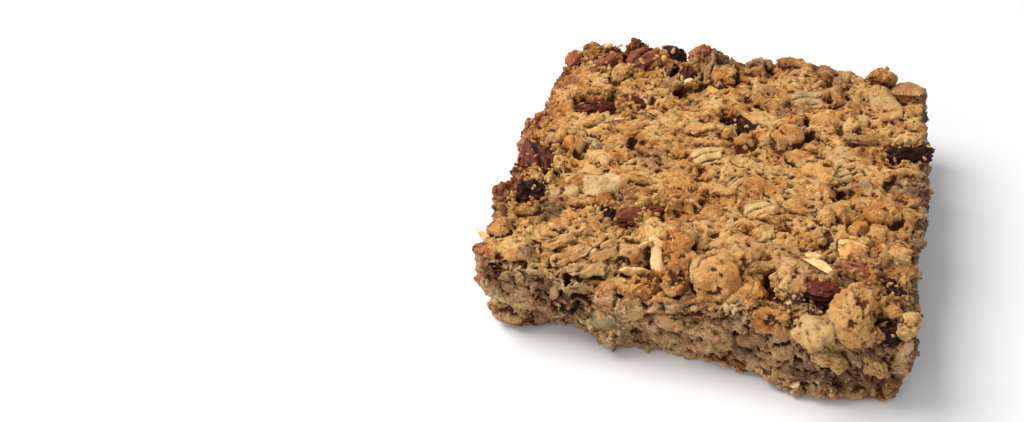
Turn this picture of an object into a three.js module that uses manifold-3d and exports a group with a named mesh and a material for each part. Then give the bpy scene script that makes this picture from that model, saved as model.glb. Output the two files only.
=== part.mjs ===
// A square of home-baked granola bar: one pressed slab of oats and dough with pecan pieces,
// raisins, a pumpkin seed and almond bits set into its skin.
// Millimetres, +Z up, origin at the centre of the flat base. The front (-Y) and right (+X)
// sides are knife cuts; the left and back sides baked against the tin and are knobblier.
import * as THREE from "three";
import { mergeVertices } from "three/addons/utils/BufferGeometryUtils.js";
import Module from "manifold-3d";

const wasm = await Module();
wasm.setup();

// ---- Driving dimensions ----
const WIDTH = 87; // X
const DEPTH = 82; // Y
const HEIGHT = 21; // Z of the mean top
const CORNER = 3.5; // plan radius of the upright corners
const TOP_EDGE = 2.6; // radius of the worn upper edge
const FOOT_EDGE = 1.2; // radius where the sides meet the base
const GRID = 3.3; // spacing of the slab's relief grid
const FOOT_FADE = 4; // height over which the lumps of the sides die away to the flat base
const GAP = 0.3; // clearance between a piece and its socket
const SINK = 0.22; // share of its thickness by which a piece sits below the skin

// The clumps that the skin is made of: [spacing, height] of each layer.
const CLUMPS = [
  [10, 1.5],
  [6, 1],
];
const CLUMP_MEAN = 0.7; // the clump function's mean, taken off so that the size stays true

// The hand-made shape of the top and of each side: humps (push > 0) and hollows, each
// [place along X or Y, other place, reach, other reach, push]. On the top the other place is
// Y, and on a side it is the height.
const TOP = [
  // the raised back rim, left to right
  [-35, 40, 6, 8, 2],
  [-25, 39, 5, 8, 4],
  [-17, 40, 4, 6, 2.8],
  [-7.5, 40, 5, 8, 4.6],
  [5, 40, 4, 7, 3],
  [14, 40, 7, 7, 3],
  [31, 39, 8, 9, 3.4],
  [40, 39, 4, 7, 1.6],
  // the front edge: worn away on the left, heavy clumps on the right
  [-12, -44, 28, 18, -5],
  [9, -33, 7, 6, 2.4],
  [19, -31.5, 6, 5, 2],
  [33, -37, 9, 8, 1.6],
  [22, -37, 9, 3, -4],
  // lumps and dips of the open top
  [-4, -25, 6, 5, 1.8],
  [33, -19, 8, 6, 1.4],
  [-41, -20, 7, 7, 1],
  [4, 16, 11, 4, -1.8],
  [-17, -24, 9, 5, -1.6],
  [-10, 27, 5, 6, -1.8],
];
const FRONT = [
  [-41, 0, 7, 16, -2.4],
  [-26, 0, 11, 18, -5],
  [-5, 0, 24, 16, -3],
  [-15, 5, 5, 7, 2],
  [26, 2, 12, 12, 2.2],
  [32, 16, 8, 7, 2.6],
  [22, 16, 4, 5, -2],
];
const BACK = [
  [0, 14, 60, 20, 1],
  [-8, 14, 9, 9, 1],
  [-30, 6, 9, 8, -0.8],
];
const LEFT = [
  [31, 16, 10, 18, -3],
  [18, 16, 6, 12, -1.6],
  [5, 15, 8, 10, 2],
  [-10.5, 18, 4.5, 12, -2.6],
  [-18.5, 16, 6, 10, 1],
  [-26.5, 17, 4, 12, -2.6],
  [-39, 16, 10, 16, -2.2],
  [-38, 0, 12, 15, -3],
];
const RIGHT = [
  [16, 12, 46, 26, 2],
  [-30, 4, 9, 10, 1.6],
];

// Pieces set into the skin. at: a point on the plain box, which picks the side and the place;
// size: length, width and thickness; turn: degrees about the skin's outward normal;
// tip: degrees that the far end of the length dips into the slab.
const PECANS = {
  pecan_back_left: { at: [-34.5, 34, HEIGHT], size: [10, 7, 6], turn: 20, tip: -10 },
  pecan_back: { at: [-24, 35.5, HEIGHT], size: [10, 7.5, 7], turn: 50, tip: -15 },
  pecan_dark: { at: [-13, 33, HEIGHT], size: [6.5, 4.5, 4], turn: 100, tip: 0 },
  pecan_left_rear: { at: [-30.5, 15.5, HEIGHT], size: [11, 6, 5], turn: 5, tip: 0 },
  pecan_sliver: { at: [-23, 19.5, HEIGHT], size: [8, 3.2, 4], turn: -8, tip: 0 },
  pecan_left: { at: [-38, -5.5, HEIGHT], size: [14, 8.5, 6], turn: -58, tip: 0 },
  pecan_left_edge: { at: [-43, 7, 16.5], size: [8, 4.5, 3.6], turn: 80, tip: 0 },
  pecan_middle: { at: [-10.5, -19.5, HEIGHT], size: [14, 4, 5], turn: 38, tip: 8 },
  pecan_front_right: { at: [31.5, -26, HEIGHT], size: [7, 4.5, 4.5], turn: -20, tip: 0 },
  pecan_crevice: { at: [25.5, -34, HEIGHT], size: [8, 4.5, 5], turn: 5, tip: 0 },
};
const RAISINS = {
  raisin_back: { at: [-16, 41, 20], size: [8, 4.5, 5.5], turn: 0, tip: -20 },
  raisin_left: { at: [-36, -18.5, HEIGHT], size: [8.5, 6, 5], turn: 30, tip: 0 },
  raisin_left_small: { at: [-17.5, -21, HEIGHT], size: [5.5, 4, 3.6], turn: 10, tip: 0 },
  raisin_right: { at: [39, 13.5, HEIGHT], size: [12, 7, 5], turn: 24, tip: 0 },
  raisin_middle: { at: [4.5, 17, HEIGHT], size: [11, 4.5, 5.5], turn: -22, tip: 0 },
  raisin_front_right: { at: [38.5, -30.5, HEIGHT], size: [7, 4, 4.5], turn: -40, tip: 0 },
  raisin_front: { at: [-24, -41, 12], size: [8, 5.5, 4.5], turn: 12, tip: 0 },
  raisin_corner: { at: [38, -41, 17.5], size: [6, 4.5, 4], turn: 0, tip: 0 },
};
const SEEDS = {
  pumpkin_seed: { at: [-16.5, -41, 10.5], size: [10, 6, 2.6], turn: 8, tip: 0 },
};
const ALMONDS = {
  almond_chip: { at: [30.5, -20.5, HEIGHT], size: [6, 4.5, 4], turn: 15, tip: 0 },
};

const COLOURS = {
  oat: { color: 0xb88551, roughness: 0.85, metalness: 0 },
  pecan: { color: 0x6f3a2c, roughness: 0.45, metalness: 0 },
  raisin: { color: 0x2c1715, roughness: 0.4, metalness: 0 },
  seed: { color: 0x7d7248, roughness: 0.5, metalness: 0 },
  almond: { color: 0xcf9450, roughness: 0.5, metalness: 0 },
};

// ---- The slab's skin ----
const clamp = THREE.MathUtils.clamp;

// A repeatable number from 0 to 1 for each whole-numbered point and salt.
function hash(i, j, k, salt) {
  const s = Math.sin(i * 12.9898 + j * 78.233 + k * 37.719 + salt * 53.17) * 43758.5453;
  return s - Math.floor(s);
}

// Clumps packed side by side in space: 1 at the middle of a clump, falling to 0 in the
// crevices. Each unit cell holds one clump's middle, and the nearest middle counts.
function clump(x, y, z) {
  const cell = [x, y, z].map(Math.floor);
  let nearest = 1;
  for (let n = 0; n < 27; n++) {
    const [i, j, k] = [(n % 3) - 1, (Math.floor(n / 3) % 3) - 1, Math.floor(n / 9) - 1];
    const at = [cell[0] + i, cell[1] + j, cell[2] + k];
    const [dx, dy, dz] = [x, y, z].map((v, a) => at[a] + hash(...at, a) - v);
    nearest = Math.min(nearest, dx * dx + dy * dy + dz * dz);
  }
  return 1 - nearest;
}

// The sum of a list's humps at a place (u, v): each is 1 at its middle and eases to 0 at its
// reach.
function humps(list, u, v) {
  return list.reduce((sum, [atU, atV, reachU, reachV, push]) => {
    const away = Math.min(1, ((u - atU) / reachU) ** 2 + ((v - atV) / reachV) ** 2);
    return sum + push * (1 - away) ** 2;
  }, 0);
}

// The point of the rounded slab that a point on the plain box's surface goes to, with the
// outward normal there. In plan each square ring of a corner becomes an arc; in section the
// square upper and lower edges become arcs too.
function roundedPoint([x, y, z]) {
  const inner = new THREE.Vector2(
    clamp(x, CORNER - WIDTH / 2, WIDTH / 2 - CORNER),
    clamp(y, CORNER - DEPTH / 2, DEPTH / 2 - CORNER),
  );
  const plan = new THREE.Vector2(x, y).sub(inner);
  const ring = Math.max(Math.abs(plan.x), Math.abs(plan.y));
  const out = plan.lengthSq() > 0 ? plan.clone().normalize() : new THREE.Vector2();
  const inset = CORNER - ring; // distance in from the side, up to CORNER
  const atTop = z > HEIGHT / 2;
  const radius = atTop ? TOP_EDGE : FOOT_EDGE;
  const depth = atTop ? HEIGHT - z : z; // distance from the top or the base
  const across = Math.max(0, radius - inset);
  const along = Math.max(0, radius - depth);
  const facing = atTop ? 1 : -1;
  if (across === 0 || along === 0) {
    const flat = along > 0; // on the top or the base, away from the sides
    const spot = inner.addScaledVector(out, ring);
    const normal = flat ? [0, 0, facing] : [out.x, out.y, 0];
    return [new THREE.Vector3(spot.x, spot.y, z), new THREE.Vector3(...normal)];
  }
  const arc = radius / Math.hypot(across, along);
  const spot = inner.addScaledVector(out, CORNER - radius + across * arc);
  const height = atTop ? HEIGHT - radius + along * arc : radius - along * arc;
  const share = arc / radius;
  return [
    new THREE.Vector3(spot.x, spot.y, height),
    new THREE.Vector3(out.x * across * share, out.y * across * share, facing * along * share),
  ];
}

// The hand-made shape: a point slides between what its two opposite sides ask for, and its
// height stretches to meet the top's humps. The base stays flat.
function shaped({ x, y, z }) {
  const right = x / WIDTH + 0.5;
  const back = y / DEPTH + 0.5;
  const slideX = right * humps(RIGHT, y, z) - (1 - right) * humps(LEFT, y, z);
  const slideY = back * humps(BACK, x, z) - (1 - back) * humps(FRONT, x, z);
  const stretch = 1 + humps(TOP, x, y) / HEIGHT;
  return new THREE.Vector3(x + slideX, y + slideY, z * stretch);
}

// The finished skin over a point of the plain box, with the rounded slab's normal: clumps
// stand out along the normal, dying away towards the base.
function skin(boxPoint) {
  const [point, normal] = roundedPoint(boxPoint);
  let rise = 0;
  for (const [spacing, height] of CLUMPS) {
    rise += height * (clump(...point.toArray().map((v) => v / spacing)) - CLUMP_MEAN);
  }
  rise *= THREE.MathUtils.smoothstep(point.z, 0, FOOT_FADE);
  return { point: shaped(point).addScaledVector(normal, rise), normal };
}

// ---- Solids ----
// A geometry's vertices merged by place alone, as one closed indexed mesh.
function welded(geometry) {
  const bare = geometry.clone();
  bare.deleteAttribute("normal");
  bare.deleteAttribute("uv");
  return mergeVertices(bare);
}

function toSolid(geometry) {
  const closed = welded(geometry);
  return new wasm.Manifold(
    new wasm.Mesh({
      numProp: 3,
      vertProperties: closed.attributes.position.array,
      triVerts: new Uint32Array(closed.index.array),
    }),
  );
}

function toGeometry(solid) {
  const mesh = solid.getMesh();
  return new THREE.BufferGeometry()
    .setAttribute("position", new THREE.BufferAttribute(mesh.vertProperties, mesh.numProp))
    .setIndex(new THREE.BufferAttribute(mesh.triVerts, 1));
}

// Moves each vertex of a geometry to where place(x, y, z) says.
function reshaped(geometry, place) {
  const closed = welded(geometry);
  const position = closed.attributes.position;
  for (let n = 0; n < position.count; n++) {
    const at = place(position.getX(n), position.getY(n), position.getZ(n));
    position.setXYZ(n, at.x, at.y, at.z);
  }
  return closed;
}

function slabGeometry() {
  const cells = [WIDTH, DEPTH, HEIGHT].map((side) => Math.round(side / GRID));
  const box = new THREE.BoxGeometry(WIDTH, DEPTH, HEIGHT, ...cells);
  return reshaped(box, (x, y, z) => skin([x, y, z + HEIGHT / 2]).point);
}

// ---- Pieces: each turns a unit direction into a point of a body one unit in half-length ----
// A pecan fragment: lobes run along its length, with a few cross ripples, and one end is
// blunter than the other.
function pecanPoint(x, y, z) {
  const lobe = 0.5 + 0.5 * Math.cos(4 * Math.atan2(z, y));
  const girth = 0.78 + 0.22 * Math.sqrt(lobe) + 0.05 * Math.sin(9 * x);
  const blunt = 1 - 0.12 * x;
  return new THREE.Vector3(x, y * girth * blunt, z * girth * blunt);
}

// A raisin: an egg with wandering lengthwise folds.
function raisinPoint(x, y, z) {
  const fold = Math.sin(5 * Math.atan2(z, y) + 2.5 * x);
  const girth = 0.9 + 0.1 * fold + 0.08 * Math.sin(7 * x);
  return new THREE.Vector3(x, y * girth, z * girth);
}

// A pumpkin seed: a flat teardrop with a pointed end and a swollen middle.
function seedPoint(x, y, z) {
  const taper = 1 - 0.3 * x;
  return new THREE.Vector3(x, y * taper, z * taper * (1 - 0.35 * Math.abs(y)));
}

// A chip of almond: a chunk with blunt, nearly flat faces.
function almondPoint(x, y, z) {
  const power = 4;
  const reach = (Math.abs(x) ** power + Math.abs(y) ** power + Math.abs(z) ** power) ** (1 / power);
  const blunt = 0.88 / reach;
  return new THREE.Vector3(x * blunt, y * blunt, z * blunt * (1 - 0.2 * x));
}

// The matrix that sets a piece into the skin: its thickness along the outward normal.
function seating({ at, size, turn, tip }) {
  const { point, normal } = skin(at);
  const up = normal.clone().normalize();
  const level = Math.abs(up.z) > 0.9 ? new THREE.Vector3(1, 0, 0) : new THREE.Vector3(0, 0, 1);
  const side = up.z > 0.9 ? level.clone() : new THREE.Vector3().crossVectors(level, up);
  side.addScaledVector(up, -side.dot(up)).normalize();
  const away = new THREE.Vector3().crossVectors(up, side);
  const centre = point.clone().addScaledVector(up, -SINK * size[2]);
  return new THREE.Matrix4()
    .makeBasis(side, away, up)
    .setPosition(centre)
    .multiply(new THREE.Matrix4().makeRotationZ(THREE.MathUtils.degToRad(turn)))
    .multiply(new THREE.Matrix4().makeRotationY(THREE.MathUtils.degToRad(tip)));
}

// A piece's geometry in its own frame, grown by extra on every side.
function pieceGeometry(shape, { size }, extra = 0) {
  const [segmentsAround, segmentsAlong] = [10, 7];
  const ball = new THREE.SphereGeometry(1, segmentsAround, segmentsAlong).rotateZ(Math.PI / 2);
  const half = new THREE.Vector3(...size).divideScalar(2).addScalar(extra);
  return reshaped(ball, (x, y, z) => shape(x, y, z).multiply(half));
}

const group = new THREE.Group();
let slab = toSolid(slabGeometry());

// Adds each piece of one kind as its own mesh and cuts its socket out of the slab.
function addPieces(pieces, shape, material) {
  for (const [name, piece] of Object.entries(pieces)) {
    const seat = seating(piece);
    const mesh = new THREE.Mesh(pieceGeometry(shape, piece), material);
    mesh.name = name;
    mesh.applyMatrix4(seat);
    group.add(mesh);
    slab = slab.subtract(toSolid(pieceGeometry(shape, piece, GAP).applyMatrix4(seat)));
  }
}

addPieces(PECANS, pecanPoint, new THREE.MeshStandardMaterial(COLOURS.pecan));
addPieces(RAISINS, raisinPoint, new THREE.MeshStandardMaterial(COLOURS.raisin));
addPieces(SEEDS, seedPoint, new THREE.MeshStandardMaterial(COLOURS.seed));
addPieces(ALMONDS, almondPoint, new THREE.MeshStandardMaterial(COLOURS.almond));

const oatSlab = new THREE.Mesh(toGeometry(slab), new THREE.MeshStandardMaterial(COLOURS.oat));
oatSlab.name = "oat_slab";
group.add(oatSlab);

export default group;
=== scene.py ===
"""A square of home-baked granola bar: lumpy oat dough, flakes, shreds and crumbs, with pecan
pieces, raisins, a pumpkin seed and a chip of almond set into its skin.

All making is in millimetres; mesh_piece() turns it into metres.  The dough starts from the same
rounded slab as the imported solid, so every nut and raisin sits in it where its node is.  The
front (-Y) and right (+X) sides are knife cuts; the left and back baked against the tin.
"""

import itertools
import math

import bpy
import numpy as np
from mathutils import Matrix


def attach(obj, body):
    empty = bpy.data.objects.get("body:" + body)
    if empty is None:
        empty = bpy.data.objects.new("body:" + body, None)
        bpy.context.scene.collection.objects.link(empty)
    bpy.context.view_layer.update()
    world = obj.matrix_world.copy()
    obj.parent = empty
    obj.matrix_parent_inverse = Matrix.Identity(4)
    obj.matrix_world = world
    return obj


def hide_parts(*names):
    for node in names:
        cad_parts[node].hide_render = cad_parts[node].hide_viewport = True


MM = 0.001
rng = np.random.default_rng(7054)

# ---- The slab's driving dimensions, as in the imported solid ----
WIDTH, DEPTH, HEIGHT = 87.0, 82.0, 21.0
CORNER = 3.5  # plan radius of the upright corners
TOP_EDGE = 2.6  # radius of the worn upper edge
FOOT_EDGE = 1.2  # radius where the sides meet the base
FOOT_FADE = 4.0  # height over which the clumps of the sides die away to the base
CLUMPS = [(10.0, 1.5), (6.0, 1.0)]  # spacing and height of each layer of clumps
CLUMP_MEAN = 0.7

# Humps (push > 0) and hollows: place along X or Y, other place, the two reaches, push.
TOP = [
    # the raised back rim, left to right
    (-35, 40, 6, 8, 2),
    (-25, 39, 5, 8, 4),
    (-17, 40, 4, 6, 2.8),
    (-7.5, 40, 5, 8, 4.6),
    (5, 40, 4, 7, 3),
    (14, 40, 7, 7, 3),
    (31, 39, 8, 9, 3.4),
    (40, 39, 4, 7, 1.6),
    # the front edge: worn away on the left, heavy clumps on the right
    (-12, -44, 28, 18, -5),
    (9, -33, 7, 6, 2.4),
    (19, -31.5, 6, 5, 2),
    (33, -37, 9, 8, 1.6),
    (22, -37, 9, 3, -4),
    # lumps and dips of the open top
    (-4, -25, 6, 5, 1.8),
    (33, -19, 8, 6, 1.4),
    (-41, -20, 7, 7, 1),
    (4, 16, 11, 4, -1.8),
    (-17, -24, 9, 5, -1.6),
    (-10, 27, 5, 6, -1.8),
]
FRONT = [
    (-41, 0, 7, 16, -2.4),
    (-26, 0, 11, 18, -5),
    (-5, 0, 24, 16, -3),
    (-15, 5, 5, 7, 2),
    (26, 2, 12, 12, 2.2),
    (32, 16, 8, 7, 2.6),
    (22, 16, 4, 5, -2),
]
BACK = [(0, 14, 60, 20, 1), (-8, 14, 9, 9, 1), (-30, 6, 9, 8, -0.8)]
LEFT = [
    (31, 16, 10, 18, -3),
    (18, 16, 6, 12, -1.6),
    (5, 15, 8, 10, 2),
    (-10.5, 18, 4.5, 12, -2.6),
    (-18.5, 16, 6, 10, 1),
    (-26.5, 17, 4, 12, -2.6),
    (-39, 16, 10, 16, -2.2),
    (-38, 0, 12, 15, -3),
]
RIGHT = [(16, 12, 46, 26, 2), (-30, 4, 9, 10, 1.6)]

# ---- The dough's two closed pieces: a crust that laps over the sides ----
COLUMNS, ROWS = 282, 264  # fine cells along X and Y, multiples of the coarse steps
SKIRT = 6.0  # how far down the sides the crust reaches
SKIRT_LEVELS = 20
SIDE_TOP = 17.9  # box height at which the sides end, under the crust
SIDE_LEVELS = 60
HIDDEN_STEP, BASE_STEP = 6, 2  # fine cells to one cell of an inner sheet and of the base
INSET, BASE_INSET = 4.2, 0.8  # from the sides in to an inner sheet and to the base
SUNK = 0.65  # an inner sheet lies this much lower than the rim it is sewn to
TUCK = 1.7  # how far the hidden rims turn in
LIP = 0.3  # how far the crust's rim stands out over the sides
CRUST_END = 16.4  # about the lowest height at which the crust's rim ends
SIDES_TURN_IN = 16.8  # height above which the sides turn in under the crust
SIDES_SHOW = 16.6  # height up to which the sides can be seen

# ---- The small pieces ----
# Points once round each kind of shape, and rings along it.
NUT_DETAIL, CLUMP_DETAIL, TOASTED_DETAIL = (64, 44), (66, 42), (24, 16)
COATED_DETAIL, FLAKE_DETAIL, CHIP_DETAIL = (44, 26), (44, 9), (16, 10)
CRUMB_DETAIL, SHRED_DETAIL, FINE_DETAIL = (6, 4), (4, 4), (4, 2)
FLAKE_BEND = 0.35  # the furthest that a flake is bent
NUT_DEPTH = 5  # the skin meets a nut no further than this in or out from the nut's middle
BASE_CLEARANCE = 0.02  # loose pieces stay this far above the base
FULL_TURN = 6.28  # radians, close enough for bearings at random
FAR = 9.0  # stands for out of reach, where a distance is compared
FACING, FACING_WELL = 0.35, 0.45  # how much of a normal points a face's way
# Rounds of averaging with the neighbours: for the smooth skin's normals, for the heaved skin's,
# for the skin under a flake, and to part fine and broad relief from the rest.
SMOOTH_ROUNDS, HEAVED_ROUNDS, CALM_ROUNDS, FINE_ROUNDS, BROAD_ROUNDS = 10, 3, 12, 5, 60
# Each face's outward axis and sense, and the axes that its places are given along.
FACES = {"top": (2, 1, 0, 1), "front": (1, -1, 0, 2)}

# Crevices of the top: middle, half-length, half-width, bearing in degrees, depth.
CREVICES = [
    (-11.6, 27.2, 1.4, 0.9, 60, 2.4),
    (-7.6, 25.8, 3.2, 0.7, 48, 2),
    (-18.4, 3.8, 2.2, 0.4, -75, 1.5),
    (-33.4, 6.6, 2.2, 0.6, -15, 1.6),
    (-28.5, 4.6, 3.6, 0.4, -25, 1.2),
    (5.4, 16.8, 7, 1.5, -18, 3),
    (19, 20.4, 1.9, 0.8, 80, 2.2),
    (19.6, 15.4, 2.2, 1.5, 70, 2.8),
    (24.3, 27.4, 1.2, 0.9, 30, 2),
    (7.2, 23.4, 1.6, 0.9, 10, 1.6),
    (19, 2.2, 4.6, 0.6, -46, 1.8),
    (37.6, 2.6, 2.4, 1.8, 0, 1.3),
    (27.5, -3.4, 3.2, 1.2, -20, 1.4),
    (30.5, -8.2, 3, 0.8, -30, 2),
    (27.8, -25, 2, 2, 0, 2.6),
    (30.2, -13.5, 1.3, 1, 80, 1.4),
    (23.5, -37.2, 6, 1.5, 6, 2.6),
    (31, -32.6, 4.6, 1.2, -4, 2.6),
    (11, -28.8, 4, 0.7, -8, 2),
    (16.6, -34.6, 2.6, 0.6, 78, 1.8),
    (38.6, -39.5, 2.2, 3, 20, 2.4),
    (-16.2, -27.6, 4.6, 0.6, 40, 2.2),
    (-12.4, -25, 1.6, 1, 55, 2.4),
    (-9.4, -20.5, 5.4, 1.4, 62, 1.2),
    (-7, -18.2, 3.2, 0.7, 78, 1.8),
    (-30.8, -29.8, 2.6, 1, 30, 1.8),
    (-7.4, -33.6, 2, 1.1, -70, 2),
    (2.4, -27.6, 3, 1.1, 25, 2.2),
    (-29, -3.4, 1.5, 0.8, -20, 1.4),
    (-14.4, 33.6, 3.4, 0.7, 85, 3),
    (-22.6, 30, 2.6, 0.7, 20, 2),
    (8.4, 38, 1.6, 0.8, 20, 1.8),
]
RIBS = 9.0  # radians of the ribs' wave from a ribbed flake's middle line to its rim
# Pale flakes lying flush in the top: middle, half-length, half-width, bearing, how far their
# face stands out, paleness, depth of the ribs along them, squareness.
PRESSED = [
    (-21.6, -12.7, 4.1, 3.2, 14, 0.45, 1, 0, 0.9),
    (-27.4, -15.9, 2.4, 1.8, 78, 0.35, 0.6, 0, 0.2),
    (-30.7, -17.6, 2.5, 1.2, 80, 0.4, 0.55, 0, 0.1),
    (-24.8, -8.2, 2.7, 1.5, -14, 0.4, 0.55, 0, 0.3),
    (-23, -4.6, 1.6, 1.5, 0, 0.35, 0.6, 0, 0.2),
    (-1.6, 2.6, 3.7, 3, 28, 0.5, 1, 1, 0.4),
    (17.5, 29.4, 4.2, 3.6, 32, 0.5, 0.9, 1, 0.4),
    (11.8, -12.8, 3.3, 2.8, 42, 0.5, 1, 1, 0.4),
    (26.2, 9.2, 3.6, 2.4, 66, 0.35, 0.55, 0.5, 0.3),
    (27.2, 1.6, 3, 1.9, 32, 0.5, 0.95, 1, 0.3),
    (-1.2, -14, 1.6, 0.7, -5, 0.3, 0.9, 0, 0.2),
    (32.4, 0.2, 2.8, 1.5, -70, 0.4, 0.6, 0, 0.3),
    (-6.2, 34.4, 2.4, 1.7, 60, 0.6, 0.45, 0, 0.2),
    (-15.6, 20.4, 3.6, 2.2, 10, 0.2, 0.35, 0.3, 0.2),
    (-3.2, 22.5, 2.8, 2.2, 60, 0.2, 0.5, 0.3, 0.2),
    (30.6, 25.6, 2.2, 1.4, 80, 0.2, 0.6, 0.3, 0.2),
    (19.6, 5, 5.4, 4, -44, 0.5, 0.12, 0, 0.7),
    (20.4, -9.6, 4.8, 2.1, 6, 0.7, 0.25, 0, 0.3),
    (-26.6, 1.1, 1.9, 1.6, 80, 0.3, 0.2, 0, 0.2),
    (-31.4, 26.2, 3.8, 2.2, -28, 0.6, 0.1, 0.6, 0.1),
    (-21.5, -25.4, 6, 3.2, 12, 0.8, 0.1, 0, 0.4),
    (35.2, 31.2, 5.9, 3.7, 102, 0.6, 0.35, 0, 0.7),
    (6.2, -4.4, 3.4, 1.2, 50, 0.2, 0.4, 0.4, 0.2),
    (13.4, 1.6, 2.6, 1.8, 30, 0.2, 0.3, 0.3, 0.2),
    (-12.8, 6.8, 2.4, 1.2, 12, 0.25, 0.5, 0.3, 0.2),
    (0.6, -20, 2.8, 1, 24, 0.25, 0.4, 0.4, 0.2),
]
# Clumps that swell out of the top at (x, y): middle, half-sizes along and across, height,
# bearing, tone, warmth.
TOP_CLUMPS = [
    (15, 13.4, 4.4, 3.5, 2, 82, 0.4, 0.3),
    (6, 9.2, 2.7, 2.4, 1.4, 50, 0.5, 0.9),
    (34, 39.2, 4.2, 2.5, 2.3, 10, 0.75, 0.7),
    (27.9, 19.4, 2.5, 1.8, 1.4, 75, 0.9, 0.1),
    (24.5, 36, 1.9, 1.5, 1.4, 20, 0.8, 0.2),
    (-27, 29.4, 2.3, 2, 2.2, 60, 0.7, 0.3),
    (-27.6, 21.6, 2.7, 1.4, 1.5, 76, 0.6, 1),
    (-19.2, 35, 1.7, 1.3, 2.1, 60, 0.95, 0),
    (-38.2, -12.8, 1.6, 0.9, 1.4, -60, 0.7, 0.2),
    (-38.6, -20.6, 1.5, 1.3, 1.4, 60, 0.75, 0.2),
    (-33.6, -13.4, 1.2, 0.8, 1.7, 70, 0.6, 0),
    (-38, -31.4, 2.4, 2.2, 1.8, 0, 0.75, 0.7),
    (36, -9.4, 3.6, 3.3, 2.3, 30, 0.45, 0.6),
    (28.6, -10.8, 2.7, 2.2, 2.2, 50, 0.7, 0.2),
    (25, -13.4, 2, 1.8, 1.8, 70, 0.7, 0.3),
    (25.6, -24.2, 1.2, 0.9, 1.5, 60, 1, 0),
    (39.6, -30.4, 1.4, 1.2, 2.4, 30, 0.7, 0.2),
    (-2.6, 34.4, 3.4, 2.8, 2.1, 60, 0.6, 0.6),
    (-9.6, 31.6, 2.6, 1.2, 1.9, 60, 0.6, 0.5),
    (24.6, 31.2, 2.1, 1.8, 1.7, 70, 0.55, 0.8),
    (-35.2, 1.8, 2.4, 2, 1.6, 30, 0.5, 0.3),
    (-30.6, -0.6, 2.6, 2.4, 1.7, 60, 0.55, 0.4),
    (23, -19.8, 3, 2.6, 1.3, 40, 0.4, 0.3),
    (1.6, 10.6, 1.6, 1.5, 1.3, 60, 0.6, 0.4),
    (31.2, -15.4, 2.4, 1.8, 1.4, 60, 0.15, 0.6),
]
# The same on the front, at (x, z).
FRONT_CLUMPS = [
    (-25, 6.3, 1.4, 1.2, 1.6, 80, 0.6, 0.9),
    (-20.4, 5.4, 1.3, 0.9, 1.1, -20, 1, 0),
    (-14.9, 2.6, 1.3, 1.1, 1.6, 60, 0.3, 1),
    (-12.8, 1.3, 1.2, 1.1, 1.7, 60, 0.35, 1),
    (-12.9, 3.8, 0.9, 0.8, 1.3, 60, 0.8, 0.4),
    (-35.4, 2.8, 3.4, 1.5, 1.4, 5, 0.7, 0.6),
    (41, 4.2, 2.9, 1.6, 1.9, 78, 0.15, 0.9),
    (24.8, 1.8, 1.8, 1.4, 1.4, 80, 0.85, 0.3),
    (29.2, 2.5, 4, 1.8, 1.2, 10, 0.45, 0.7),
    (42.4, 12.4, 4, 1.9, 1.7, 80, 0.6, 0.3),
    (14, 17.4, 2.2, 1.4, 1.6, 10, 0.4, 0.3),
    (-11, 19.4, 3.6, 1.5, 1.9, 12, 0.6, 0.4),
]
# Crevices of the front, at (x, z), as those of the top.
FRONT_CREVICES = [
    (-32, 20.5, 1.6, 1, 10, 1.8),
    (-25, 20.2, 1, 0.7, 0, 1.6),
    (-28, 16, 1.4, 0.7, -20, 1.4),
    (-22, 18.4, 1.8, 0.6, 85, 1.8),
    (-37, 17, 1, 0.7, 0, 1.4),
    (-21.5, 11.5, 2.6, 1.4, 30, 1.6),
    (-11, 16, 1, 0.7, -40, 1.4),
    (-7, 15.5, 2.8, 0.5, 86, 1.8),
    (7.6, 15.5, 1.4, 0.5, 5, 1.4),
    (11.4, 17.8, 2, 0.45, -8, 1.8),
    (13.6, 15.4, 1.6, 0.5, -70, 1.6),
    (17, 15, 1, 0.6, 0, 1.4),
    (34.6, 12.9, 5.4, 1.6, 6, 3.2),
    (38.8, 16.4, 1.8, 3, 10, 3.2),
    (-18, 5.2, 2.6, 0.6, -24, 1.4),
    (20, 11.4, 1.8, 0.5, 30, 1.2),
    (2.5, 9.6, 1.6, 0.5, 20, 1.2),
]
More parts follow.
